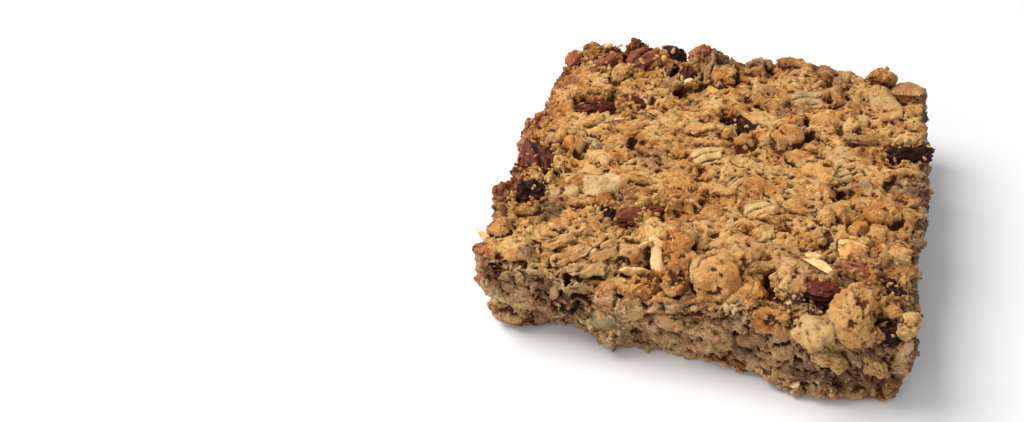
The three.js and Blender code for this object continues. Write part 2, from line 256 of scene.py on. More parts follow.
# Dents and swellings of the outline: place, reach, push out.
DENTS = [
    # the back rim, left to right
    (-43, 38, 20, 6, -0.6),
    (-42.5, 32, 20, 5, -1.8),
    (-38, 40, 21, 5, 1),
    (-34, 40, 21, 6, 1.2),
    (-3, 40.5, 23, 5, 1.4),
    (1, 40, 23, 7, 1),
    (4.5, 42, 23, 4, -1),
    (12, 40, 22, 7, 0.8),
    (13.5, 43, 23, 4, -1.6),
    (20, 41, 22.5, 5, 1.1),
    (22, 40, 22, 7, 1),
    (30.5, 41.5, 23.5, 6, -1.8),
    (39, 40.5, 21.5, 5, -1.8),
    # the left side, back to front
    (-43, 22, 19, 7, -1.2),
    (-43, 12, 19, 7, -2),
    (-44.5, 6, 19.5, 6, -1.2),
    (-44, 2, 18, 7, -2.6),
    (-43.5, -7, 19, 5, -1),
    (-43, -12, 19, 6, -1.4),
    (-43, -19, 21.5, 5, -1),
    (-44, -27, 17, 7, -2),
    (-44, -34, 18, 6, -1.6),
    (-44, -38, 10, 8, -1.6),
    (-42.5, -38.5, 4, 5, -2),
    # the foot of the front, left to right
    (-36, -39, 2, 7, -0.6),
    (-31.5, -40, 1, 7, -2.4),
    (-20, -38, 2.5, 4, 0.9),
    (-15.5, -41, 2, 3.5, -1.2),
    (-6, -40, 1, 6, 0.7),
    (1, -38, 0.5, 7, 0.7),
    (8, -39.5, 1, 6, -0.9),
    (14, -41, 0, 7, -2.2),
    (19, -41.5, 1, 5, -0.6),
    (26, -41, 0, 7, -0.9),
    (43, -42, 2, 6, -2.2),
    (44, -41, 9, 6, -1),
    # the right side, front to back
    (45.5, -28, 11, 6, -1.3),
    (43.5, -28, 21, 8, -1.2),
    (43.5, -14, 21, 8, -1),
    (44, -23.5, 18.4, 5, -0.9),
    (43.5, 0, 21, 7, -0.6),
    (46, 3, 9, 5, 0.9),
    (45.7, -4, 18.8, 5, -0.6),
    (46.5, 8, 14, 6, -1.2),
    (45, 14, 19.5, 8, -2.4),
]
# Heavy clumps that stand on the dough: middle, half-lengths along and across the bearing and
# upwards, bearing, lean, crumbliness, tone, warmth, paleness.
BOULDERS = [
    (6.6, -34.4, 19.9, 4.9, 4.2, 4.4, 80, 8, 0.15, 0.6, 0.2, 0.08),
    (8.8, -31.2, 20.8, 3.4, 2.8, 2.9, 40, 0, 0.1, 0.55, 0.15, 0.05),
    (14, -36.8, 19, 3.2, 2.6, 2.8, 60, 10, 0.15, 0.6, 0.15, 0),
    (19.4, -33.2, 21.1, 3.8, 2.9, 2.6, 60, 8, -0.35, 0.78, 0.12, 0.2),
    (31.8, -38.4, 19.6, 4.7, 4.5, 5.2, 60, 10, -0.05, 0.6, 0.18, 0.08),
    (34.6, -40.2, 17.2, 2.7, 2.2, 2.8, 20, 0, -0.1, 0.1, 0.5, 0),
    (25.6, -40.8, 17.2, 4, 2.5, 2.9, -12, 0, -0.1, 0.8, 0.1, 0.55),
    (18, -40.4, 17, 3.8, 2, 2.7, 5, 0, 0.3, 0.3, 0.3, 0),
    (29.6, -41.2, 10, 3.2, 1.5, 1.6, -10, 0, 0.15, 0.6, 0, 0.5),
    (37.6, -41, 11, 2.2, 1.5, 1.9, -40, 0, 0.3, 0.55, 0.2, 0.35),
    (41.4, -39.6, 20.2, 2, 1.8, 3, 60, 10, 0.1, 0.7, 0.25, 0.35),
    (-2.4, -28.2, 21, 2.7, 2.3, 2.4, 78, 0, -0.2, 0.2, 1, 0),
    (-1.2, -34.6, 19.2, 4, 2.4, 2.1, 80, 24, -0.25, 0.45, 0.6, 0.1),
    (-8.2, -37.2, 17, 3.6, 2.8, 2.4, 20, 20, 0.35, 0.4, 0.3, 0),
    (2.8, -33.8, 20.2, 3.2, 1.3, 2.4, 82, -20, -0.3, 0.7, 0.1, 0.55),
    (35.6, -16.2, 20.2, 3, 2, 1.9, 20, 0, -0.2, 0.65, 0.35, 0.1),
    (39.6, -19.4, 20.2, 3.4, 1.9, 1.9, 96, 0, -0.2, 0.7, 0.35, 0.15),
    (35.2, -20.6, 20, 2, 1.5, 1.6, 60, 0, 0.1, 0.45, 0.6, 0),
]
# How many crumbs lie on each nut, on those that hold more, and on the heavy clumps.
CRUMBS_ON_NUT = 6
CRUMBS_ON_CLUMPS = 420
CRUMBY = {"pecan_back_left": 30, "raisin_left": 14, "raisin_front_right": 16, "raisin_right": 16}
# How long and wide a hollow the dough leaves over a nut, as shares of the nut's own outline,
# where it isn't all of it.
LAPPED = {
    "pecan_middle": (0.9, 0.75),
    "pecan_crevice": (1.35, 1.3),
    "pecan_sliver": (1.6, 1.7),
    "pecan_left": (1.25, 1.2),
    "pecan_left_rear": (1.2, 1.5),
    "raisin_middle": (1.2, 1.1),
    "raisin_left_small": (0.8, 0.7),
    "raisin_back": (1.3, 1.3),
    "raisin_front": (0.75, 0.7),
    "pumpkin_seed": (0.55, 0.75),
    "raisin_left": (1.1, 1.05),
    "pecan_front_right": (0.85, 0.75),
    "raisin_front_right": (0.85, 0.75),
    "raisin_corner": (0.9, 0.8),
}
# How much lighter than the rest a nut's skin is.
LIGHTER = {
    "pecan_front_right": 0.8,
    "pecan_back": 0.45,
    "pecan_back_left": 0.6,
    "pecan_left_edge": 0.4,
    "pecan_middle": 0.35,
}
# Soft brown-grey patches, where moister dough shows, and painted shade: the top's rows along the right
# rim (x 44) and the broad one along the front (12, -32), and the front's row at (31, 8), darken where
# less light falls.  On the top at (x, y), on the front at (x, z), with two reaches and how much.
MOIST_AND_SHADED_TOP = [
    (8, 29, 7, 6, 0.5),
    (38, 2.5, 3, 3, 0.9),
    (27.5, -3, 4.5, 2.5, 0.6),
    (-9, -2, 6, 6, 0.3),
    (44, -18, 4.5, 26, 0.9),
    (44, 18, 4, 26, 0.7),
    (12, -32, 30, 11, 0.55),
    (31, -31, 9, 7, 0.6),
]
MOIST_AND_SHADED_FRONT = [
    (31, 8, 15, 9, 1),
    (-28, 16.5, 12, 6.5, 0.7),
    (-22, 11, 6.5, 5, 0.9),
    (-37, 14, 6, 6, 0.4),
    (-16, 5, 5, 3, 0.7),
    (-1.5, 8.6, 7, 2.6, 0.7),
    (12, 6.2, 4.4, 2.6, 0.8),
    (24.3, 6.6, 4, 4, 1),
    (37.5, 14, 5, 6, 1.1),
    (10, 15.4, 5, 2.8, 1),
    (17, 12, 5, 3, 0.5),
    (31, 4.5, 6, 2, 0.4),
]
# Spots of the rims that baked darker: place, reach, how much.
BROWNED = [
    (-42, -15, 19, 5, 1),
    (-42, -23, 17, 4.5, 1),
    (-43, 8, 17, 6, 0.8),
    (-40, -7, 19, 3.5, 0.4),
    (-32, 38, 22, 7, 0.4),
    (-23, 39, 23, 6, 0.45),
    (-39, 25, 19, 4, 0.3),
    (-42, -36, 15, 6, 0.4),
    (-7, 40, 24, 4, 0.25),
    (12, 40, 23, 5, 0.25),
    (34, 41, 22, 5, 0.4),
]
# Chips of pumpkin seed on the top, at (x, y).
GREEN_CHIPS = [(-25.8, 0.0), (-27.4, 1.4), (12.6, -30.2)]


# ================================ Numbers and noise ================================
def hash01(cell, salt):
    """A repeatable number from 0 to 1 for each whole-numbered point and salt."""
    s = cell[..., 0] * 12.9898 + cell[..., 1] * 78.233 + cell[..., 2] * 37.719 + salt * 53.17
    s = np.sin(s) * 43758.5453
    return s - np.floor(s)


def middle_of(cell, salt):
    """One random place in each unit cell."""
    return cell + np.stack([hash01(cell, salt + k) for k in range(3)], -1)


def lumps(p, salt):
    """Clumps packed side by side: 1 - the squared distance to the nearest of one random middle
    per unit cell, so 1 at a clump's middle, falling to 0 in the crevices, and a number from 0 to
    1 that holds all over each clump."""
    cell = np.floor(p)
    nearest, tone = np.full(len(p), FAR), np.zeros(len(p))
    for step in itertools.product((-1, 0, 1), repeat=3):
        at = cell + step
        away = ((middle_of(at, salt) - p) ** 2).sum(-1)
        tone = np.where(away < nearest, hash01(at, salt + 3), tone)
        nearest = np.minimum(nearest, away)
    return 1 - np.minimum(nearest, 1), tone


def clump(p):
    """The height of the clumps alone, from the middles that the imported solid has."""
    return lumps(p, 0)[0]


def drift(p, salt):
    """Smooth noise from -0.5 to 0.5: the eight corners of a point's unit cell, eased together."""
    cell = np.floor(p)
    ease = (p - cell) ** 2 * (3 - 2 * (p - cell))
    total = np.zeros(len(p))
    for step in itertools.product((0, 1), repeat=3):
        weight = np.prod(np.where(np.array(step) == 1, ease, 1 - ease), axis=-1)
        total += weight * hash01(cell + step, salt)
    return total - 0.5


def bent(start, p, much, spacing, salt):
    """start, pushed about by smooth noise at p, `much` times as far as the noise goes."""
    return start + much * np.stack([drift(p / spacing, salt + k) for k in range(3)], -1)


def smoothstep(x, low, high):
    """x from low..high eased onto 0..1, held inside them."""
    t = np.clip((x - low) / (high - low), 0, 1)
    return t * t * (3 - 2 * t)


def unit(v):
    """Vectors made 1 long."""
    return v / np.maximum(np.linalg.norm(v, axis=-1, keepdims=True), 1e-9)


def spread(low, high, count):
    """count random numbers between low and high."""
    return rng.uniform(low, high, count)


# ================================ The slab's skin ================================
def humps(places, u, v):
    """The sum of the humps at (u, v): each is push * (1 - r^2)^2 inside its ellipse."""
    total = np.zeros(len(u))
    for at_u, at_v, reach_u, reach_v, push in places:
        away = np.minimum(1, ((u - at_u) / reach_u) ** 2 + ((v - at_v) / reach_v) ** 2)
        total += push * (1 - away) ** 2
    return total


def swelled(total, places, p, share):
    """total, plus push * exp(-(distance / (share * reach))^2) at p for each place."""
    for x, y, z, reach, push in places:
        total = total + push * np.exp(-((p - [x, y, z]) ** 2).sum(1) / (share * reach) ** 2)
    return total


def rounded(p):
    """The rounded slab's points and outward normals over points of the plain box.

    In plan each square ring of a corner becomes an arc; in section the square upper and lower
    edges become arcs too."""
    half = np.array([WIDTH / 2 - CORNER, DEPTH / 2 - CORNER])
    inner = np.clip(p[:, :2], -half, half)
    plan = p[:, :2] - inner
    ring = np.abs(plan).max(1)
    out = unit(plan)
    at_top = p[:, 2] > HEIGHT / 2
    radius = np.where(at_top, TOP_EDGE, FOOT_EDGE)
    depth = np.where(at_top, HEIGHT - p[:, 2], p[:, 2])
    across = np.maximum(0, radius - (CORNER - ring))
    along = np.maximum(0, radius - depth)
    facing = np.where(at_top, 1.0, -1.0)
    edge = (across > 0) & (along > 0)
    arc = radius / np.maximum(np.hypot(across, along), 1e-9)
    reach = np.where(edge, CORNER - radius + across * arc, ring)
    arc_height = np.where(at_top, HEIGHT - radius + along * arc, radius - along * arc)
    height = np.where(edge, arc_height, p[:, 2])
    spot = np.column_stack([inner + out * reach[:, None], height])
    share = arc / radius
    level = ~edge & (along > 0)
    out_part = np.where(edge, across * share, np.where(level, 0, 1))
    up_part = np.where(edge, facing * along * share, np.where(level, facing, 0))
    normal = np.column_stack([out * out_part[:, None], up_part])
    return spot, unit(normal)


def shaped(p):
    """The shape given by the tables: a point slides between what its two opposite sides ask for, and
    its height stretches to meet the top's humps.  The base stays flat."""
    x, y, z = p.T
    right = x / WIDTH + 0.5
    back = y / DEPTH + 0.5
    slide_x = right * humps(RIGHT, y, z) - (1 - right) * humps(LEFT, y, z)
    slide_y = back * humps(BACK, x, z) - (1 - back) * humps(FRONT, x, z)
    stretch = 1 + humps(TOP, x, y) / HEIGHT
    return np.column_stack([x + slide_x, y + slide_y, z * stretch])


def skin(box_points):
    """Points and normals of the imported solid's skin over points of the plain box."""
    spot, normal = rounded(box_points)
    rise = sum(height * (clump(spot / spacing) - CLUMP_MEAN) for spacing, height in CLUMPS)
    rise = rise * smoothstep(spot[:, 2], 0, FOOT_FADE)
    return shaped(spot) + normal * rise[:, None], normal


# ================================ Mesh making ================================
def mesh_piece(name, verts, faces, material, **attributes):
    """A piece from points in millimetres, faces as arrays of 3 or 4 corners, and point
    attributes: one number or one vector each."""
    mesh = bpy.data.meshes.new(name)
    mesh.vertices.add(len(verts))
    mesh.vertices.foreach_set("co", (np.asarray(verts) * MM).astype(np.float32).ravel())
    corners = np.concatenate([np.asarray(f).ravel() for f in faces]).astype(np.int32)
    sizes = np.concatenate([np.full(len(f), np.asarray(f).shape[1]) for f in faces])
    mesh.loops.add(len(corners))
    mesh.loops.foreach_set("vertex_index", corners)
    mesh.polygons.add(len(sizes))
    starts = np.concatenate([[0], np.cumsum(sizes)[:-1]]).astype(np.int32)
    mesh.polygons.foreach_set("loop_start", starts)
    mesh.polygons.foreach_set("use_smooth", np.ones(len(sizes), bool))
    mesh.update(calc_edges=True)
    for key, values in attributes.items():
        values = np.asarray(values, np.float32)
        flat = values.ndim == 1
        layer = mesh.attributes.new(key, "FLOAT" if flat else "FLOAT_VECTOR", "POINT")
        layer.data.foreach_set("value" if flat else "vector", values.ravel())
    mesh.materials.append(material)
    piece = bpy.data.objects.new(name, mesh)
    bpy.context.scene.collection.objects.link(piece)
    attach(piece, "root")
    return piece


def many(name, material, points, shape_faces, size, looks, slot="oat", **attributes):
    """Copies of a shape with `size` points as one piece.  looks has one number for each copy.
    slot is not used."""
    steps = np.arange(0, len(points), size)[:, None, None]
    faces = [(f[None] + steps).reshape(-1, f.shape[1]) for f in shape_faces]
    looks = {key: np.repeat(values, size) for key, values in looks.items()}
    piece = mesh_piece(name, points, faces, material, **attributes, **looks)


def ring_faces(around, rings):
    """Quads between rings of `around` points, and fans to a pole before and a pole after them."""
    ids = 1 + np.arange(rings * around).reshape(rings, around)
    after = np.roll(ids, -1, axis=1)
    quads = np.stack([ids[:-1], ids[1:], after[1:], after[:-1]], -1).reshape(-1, 4)
    first_fan = np.column_stack([np.zeros(around, int), ids[0], after[0]])
    last_fan = np.column_stack([np.full(around, rings * around + 1), after[-1], ids[-1]])
    return [quads, np.vstack([first_fan, last_fan])]


def ball_grid(around, rows):
    """Unit directions and faces of a ball with poles on X: rows rings of `around` points."""
    polar = np.pi * np.arange(1, rows + 1) / (rows + 1)
    turn = 2 * np.pi * np.arange(around) / around
    t, a = np.meshgrid(polar, turn, indexing="ij")
    rings = np.stack([np.cos(t), np.sin(t) * np.cos(a), np.sin(t) * np.sin(a)], -1)
    points = np.vstack([[1, 0, 0], rings.reshape(-1, 3), [-1, 0, 0]])
    return points, ring_faces(around, rows)


def plate_grid(around, rings):
    """A flat closed plate as polar rings: (share of radius, angle, side) of each point, and faces.
    The rings run out over the upper side, round the rim, and back under to the middle."""
    out = np.linspace(0, 1, rings + 1)[1:-1]
    reach = np.concatenate([out, [1.0], out[::-1]])
    side = np.concatenate([np.ones(len(out)), [0.0], -np.ones(len(out))])
    turn = 2 * np.pi * np.arange(around) / around
    radius = np.repeat(reach, around)
    points = np.column_stack([radius, np.tile(turn, len(reach)), np.repeat(side, around)])
    return np.vstack([[0, 0, 1], points, [0, 0, -1]]), ring_faces(around, len(reach))


def cells(grid):
    """Quads over a grid of point numbers, facing up where the grid runs along X then Y."""
    return np.stack([grid[:-1, :-1], grid[1:, :-1], grid[1:, 1:], grid[:-1, 1:]], -1).reshape(-1, 4)


def rim(grid):
    """A grid's outermost points, once round."""
    return np.concatenate([grid[:-1, 0], grid[-1, :-1], grid[:0:-1, -1], grid[0, :0:-1]])


def sewn(fine, coarse):
    """Triangles that sew a ring of points to a ring inside it that has fewer, seen from below."""
    fine = fine.reshape(len(coarse), -1)
    steps = fine.shape[1]
    fans = [np.column_stack([coarse, fine[:, k + 1], fine[:, k]]) for k in range(steps - 1)]
    after, fine_after = np.roll(coarse, -1), np.roll(fine[:, 0], -1)
    fans.append(np.column_stack([coarse, fine_after, fine[:, -1]]))
    fans.append(np.column_stack([coarse, after, fine_after]))
    return np.vstack(fans)


def band_box(high, low, levels, top_step, base_step):
    """A closed grid over the plain box from `low` to `high`: a top sheet, a band of four sides
    with `levels` rows, and a base sheet.  A sheet whose step is over 1 has larger cells, stops
    short of the sides, and is sewn to them by triangles.

    Returns points, quads and triangles, and each point's part: 0 top sheet, 1 band, 2 base."""
    xs = np.linspace(-WIDTH / 2, WIDTH / 2, COLUMNS + 1)
    ys = np.linspace(-DEPTH / 2, DEPTH / 2, ROWS + 1)

    def sheet(step, height):
        inset = {1: 0, BASE_STEP: BASE_INSET, HIDDEN_STEP: INSET}[step]
        x, y = np.meshgrid(
            xs[::step] * (1 - 2 * inset / WIDTH), ys[::step] * (1 - 2 * inset / DEPTH), indexing="ij"
        )
        return np.column_stack([x.ravel(), y.ravel(), np.full(x.size, height)]), x.shape

    fine, fine_shape = sheet(1, high)
    ring = fine[rim(np.arange(len(fine)).reshape(fine_shape))]
    heights = np.linspace(high, low, levels + 1)
    band = np.tile(ring, (levels + 1, 1))
    band[:, 2] = np.repeat(heights, len(ring))
    top, top_shape = sheet(top_step, high)
    base, base_shape = sheet(base_step, low)
    top_id = np.arange(len(top)).reshape(top_shape)
    band_id = len(top) + np.arange(len(band)).reshape(levels + 1, -1)
    base_id = len(top) + len(band) + np.arange(len(base)).reshape(base_shape)
    triangles = [sewn(band_id[-1], rim(base_id))]
    if top_step == 1:
        band_id[0] = rim(top_id)
    else:
        triangles.append(sewn(band_id[0], rim(top_id))[:, ::-1])
    after = np.roll(band_id, -1, axis=1)
    sides = np.stack([band_id[:-1], band_id[1:], after[1:], after[:-1]], -1).reshape(-1, 4)
    points = np.vstack([top, band, base])
    part = np.repeat([0, 1, 2], [len(top), len(band), len(base)])
    quads, triangles = np.vstack([cells(top_id), sides, cells(base_id)[:, ::-1]]), np.vstack(triangles)
    used = np.zeros(len(points), bool)
    used[quads] = used[triangles] = True
    number = np.cumsum(used) - 1
    return points[used], number[quads], number[triangles], part[used]


# ================================ Relief ================================
def plates(p, n, spacing, half, thick, sharp, salt, tilt, slim, share):
    """Flat plates strewn one to a cube of `spacing`, or a share of the cubes, lying along a skin
    with points p and normals n.

    Each is a wavy ellipse up to `half` long, thick * (1 - r^sharp)^0.5 high at r from its middle
    and sloping at random by up to tilt / 2 each way.  Returns the height of the highest over each
    point, 0 where there is none, and a number from 0 to 1 that is the same all over a plate."""
    u = unit(np.cross(n, [0.5, 0.5, -0.707]))
    v = np.cross(n, u)
    cell = np.floor(p / spacing)
    top, tone = np.zeros(len(p)), np.zeros(len(p))
    for step in itertools.product((-1, 0, 1), repeat=3):
        at = cell + step
        away = p - middle_of(at, salt) * spacing
        off = (away * n).sum(1)
        near = (np.abs(off) < spacing / 2) & ((away**2).sum(1) < (1.25 * half) ** 2 + off**2)
        near &= hash01(at, salt + 10) < share
        near = np.flatnonzero(near)
        chance = [hash01(at[near], salt + k) for k in range(3, 10)]
        a, b = (away[near] * u[near]).sum(1), (away[near] * v[near]).sum(1)
        cos, sin = np.cos(FULL_TURN * chance[0]), np.sin(FULL_TURN * chance[0])
        a, b = a * cos + b * sin, b * cos - a * sin
        along = a / (half * (0.65 + 0.35 * chance[1]))
        across = b / (half * (slim[0] + (slim[1] - slim[0]) * chance[2]))
        angle = np.arctan2(across, along)
        wave = 1 + 0.12 * np.sin(3 * angle + FULL_TURN * chance[3])
        wave += 0.08 * np.sin(5 * angle + FULL_TURN * chance[4])
        r = np.hypot(along, across) / wave
        slope = (chance[5] - 0.5) * a + (chance[6] - 0.5) * b
        body = np.sqrt(np.clip(1 - r**sharp, 0, 1))
        height = thick * body * (0.6 + 0.8 * chance[3]) + tilt * slope
        wins = (r < 1) & (height > top[near])
        top[near[wins]] = height[wins]
        tone[near[wins]] = chance[4][wins]
    return top, tone


def ragged(p, spacing, salt):
    """Ragged noise around 0: swells `spacing` apart, with half-high ones under half as far apart
    on them, and quarter-high ones on those."""
    total = drift(p / spacing, salt) + 0.5 * drift(p / (0.45 * spacing), salt + 1)
    return total + 0.28 * drift(p / (0.2 * spacing), salt + 2)


def torn_sheets(p, spacing, thick, count, salt, slim):
    """Sheets torn out of dough, lying one over another: where a ragged noise is above 0 a sheet
    lies, `thick` high at its edge and higher towards its middle.  Each sheet's noise is drawn out
    along its own bearing, to `slim` of its width across it.

    Returns the height of the pile less its mean, and the uppermost sheet's tone."""
    height, tone = np.full(len(p), -0.5 * count * thick), np.full(len(p), 0.4)
    for k in range(count):
        turn = 2.4 * k + salt
        along = unit(np.array([np.cos(turn), np.sin(turn), 0.5 * np.sin(3 * turn)]))
        q = p - (p @ along)[:, None] * along * (1 - slim)
        field = ragged(q, spacing, salt + 3 * k)
        cover = smoothstep(field, -0.03, 0.03)
        height += thick * cover * (0.7 + 1.6 * np.clip(field, 0, 0.3))
        patch = 0.5 + 1.3 * drift(q / (1.4 * spacing), salt + 3 * k + 50)
        tone = np.where(cover > 0.5, patch, tone)
    return height, np.clip(tone, 0, 1)


def pits(p, spacing, share, salt):
    """0 to 1 in the ragged pits where the noise is lowest; a bigger share makes more of them."""
    return smoothstep(-0.42 + share - ragged(p, spacing, salt), -0.04, 0.14)


def fibres(p, patch):
    """Low matted ridges, drawn out along a bearing of its own in each patch, mostly along X."""
    turn = 1.1 * np.sin(40 * patch)
    along = unit(np.stack([np.cos(turn), np.sin(turn), 0.4 * np.sin(17 * patch)], -1))
    q = p - (p * along).sum(1, keepdims=True) * along * 0.84
    return 0.42 * drift(q / 0.8, 71) + 0.3 * drift(q / 0.42, 72)


def open_relief(p, n, crumble=0.0):
    """The matted relief of the top and the tin sides: dough-coated flakes lying askew over one
    another like shingles, torn sheets and lumps of dough over them, a few shreds, crumbly in
    places, with ragged pits and small pores.  A higher `crumble` gives more crumbs.

    Returns the coarse rise, the fine rise, and the tone of what is uppermost."""
    q = bent(p, p, 0.9, 2.4, 31)
    q = bent(q, p, 0.35, 0.7, 34)
    drawn = q * [0.65, 1, 1]
    sheets, sheet_tone = torn_sheets(drawn, 4.8, 0.44, 3, 100, 0.55)
    big, big_tone = plates(drawn, n, 4.2, 3.4, 0.55, 8, 50, 1.1, (0.4, 0.8), 0.85)
    small, small_tone = plates(drawn, n, 2.2, 1.7, 0.36, 4, 60, 1.2, (0.35, 0.8), 0.7)
    shred, shred_tone = plates(drawn, n, 2.0, 1.9, 0.4, 3, 70, 0.6, (0.14, 0.26), 0.6)
    lump, lump_tone = lumps(drawn / 2.8, 110)
    coarse = np.maximum(big, small) + sheets + 0.45 * (lump - CLUMP_MEAN)
    coarse -= 1.2 * pits(q, 4.4, 0.15, 160) + 0.7
    crumbly = smoothstep(drift(p / 5.0, 38) + 0.6 * drift(p / 2.0, 39) + crumble, 0.05, 0.4)
    grain = 0.36 * (clump(q / 1.35) - CLUMP_MEAN) + 0.38 * (clump(p / 0.8) - CLUMP_MEAN)
    face = smoothstep(big, 0.1, 0.3) * (big > small) * (1 - 0.7 * crumbly)
    fine = 1.05 * fibres(q, lump_tone) + (0.16 + 0.66 * crumbly) * grain + 0.9 * shred
    fine *= 1 - 0.6 * face
    fine -= 0.65 * pits(drawn, 1.8, 0.13, 165) + 0.3 * pits(q, 0.9, 0.16, 168)
    tone = np.where(big > small, big_tone, 0.5 * small_tone + 0.25)
    tone = 0.4 * tone + 0.3 * sheet_tone + 0.3 * lump_tone
    return 0.92 * coarse, fine, np.where(shred > 0.08, shred_tone, tone)


def cut_relief(p, n):
    """The relief of a knife cut: lumps and a few flakes, sliced and smeared, standing a little in
    front of one another, with crumbs in patches, pits and pores.  It crumbles more at the left,
    where the knife has torn it."""
    q = bent(p, p, 1.0, 2.2, 41)
    q = bent(q, p, 0.35, 0.7, 44)
    level = q * [0.8, 0.8, 1.15]
    heavy, heavy_tone = lumps(level / 4.2, 210)
    light, light_tone = lumps(level / 2.2, 220)
    sheets, sheet_tone = torn_sheets(level, 4.6, 0.4, 2, 200, 0.7)
    plate, plate_tone = plates(level, n, 3.2, 2.0, 0.45, 5, 80, 0.8, (0.4, 0.75), 0.4)
    coarse = 1.3 * (heavy - CLUMP_MEAN) + 0.9 * (light - CLUMP_MEAN) + 1.6 * sheets + 1.2 * plate
    coarse -= 1.6 * pits(level, 3.6, 0.2, 260) + 0.2
    torn = np.clip(0.12 - 0.012 * p[:, 0], -0.2, 0.35)
    crumbly = smoothstep(drift(p / 4.0, 48) + 0.6 * drift(p / 1.8, 49) + torn, 0.0, 0.35)
    grain = 0.5 * (clump(q / 1.2) - CLUMP_MEAN) + 0.42 * (clump(p / 0.75) - CLUMP_MEAN)
    fine = 0.7 * fibres(level, light_tone) + (0.5 + 0.75 * crumbly) * grain
    fine -= 0.95 * pits(q, 1.5, 0.16, 265) + 0.5 * pits(q, 0.8, 0.18, 268)
    tone = 0.5 * heavy_tone + 0.3 * light_tone + 0.2 * sheet_tone
    return coarse, fine, np.where(plate > 0.1, 0.4 + 0.6 * plate_tone, tone)


def cut_at(normal):
    """1 on the knife cuts of the front and right, 0 elsewhere."""
    return smoothstep(np.maximum(-normal[:, 1], normal[:, 0]), 0.45, 0.85)


def toast_at(spot, normal):
    """How browned the dough is: towards the tin at the left and back, and close to the base."""
    left = np.exp(-np.maximum(spot[:, 0] + WIDTH / 2 - 1.5, 0) / 3.6)
    back = np.exp(-np.maximum(DEPTH / 2 - 1.5 - spot[:, 1], 0) / 3.4)
    back = back * (1 - 0.6 * smoothstep(spot[:, 0], -16, -4))
    tin = smoothstep(np.maximum(normal[:, 1], -normal[:, 0]), 0.3, 0.8)
    foot = 0.7 * np.exp(-spot[:, 2] / 1.6)
    patchy = 1 + 1.4 * drift(spot / 6.0, 11) + 0.9 * drift(spot / 2.2, 12)
    toast = swelled(0.75 * left + 0.5 * back + 0.15 * tin + foot, BROWNED, spot, 0.7)
    return np.clip(toast * patchy, 0, 1.4)


def dusk_at(spot, normal):
    """How brown-grey the moister patches are, and the painted shade on the right side and the tables'
    shade rows.
    """
    on_top = smoothstep(normal[:, 2], 0.3, 0.8)
    on_front = smoothstep(-normal[:, 1], 0.3, 0.8)
    dusk = on_top * humps(MOIST_AND_SHADED_TOP, spot[:, 0], spot[:, 1])
    dusk += on_front * humps(MOIST_AND_SHADED_FRONT, spot[:, 0], spot[:, 2])
    # the whole right side, turned away from the light: painted shade
    dusk += smoothstep(normal[:, 0], 0.3, 0.8)
    patchy = 0.75 + 1.2 * drift(spot / 2.0, 14) + drift(spot / 5.0, 15)
    wild = 0.7 * smoothstep(drift(spot / 7.5, 16), 0.12, 0.35)
    return np.clip(dusk * patchy + wild * patchy, 0, 1)


def oval_shares(place, x, y, length, width, bearing):
    """How far along and across an oval places are: 0 at its middle (x, y), 1 or -1 on its rim."""
    angle = math.radians(bearing)
    along = (place - [x, y]) @ [math.cos(angle), math.sin(angle)] / length
    across = (place - [x, y]) @ [-math.sin(angle), math.cos(angle)] / width
    return along, across


def oval(along, across, power=2.0):
    """How far out in an oval: 0 at its middle, 1 on its rim.  A power above 2 squares its ends."""
    return (np.abs(along) ** power + np.abs(across) ** power) ** (1 / power)


def boulder_axes(row):
    """The axes of a boulder: along its bearing, across it, and up, leaning towards the front."""
    bearing, lean = math.radians(row[6]), math.radians(row[7])
    turn_cos, turn_sin = math.cos(bearing), math.sin(bearing)
    lean_cos, lean_sin = math.cos(lean), math.sin(lean)
    turned = np.array([[turn_cos, turn_sin, 0], [-turn_sin, turn_cos, 0], [0, 0, 1]])
    tipped = np.array([[1, 0, 0], [0, lean_cos, lean_sin], [0, -lean_sin, lean_cos]])
    return turned @ tipped


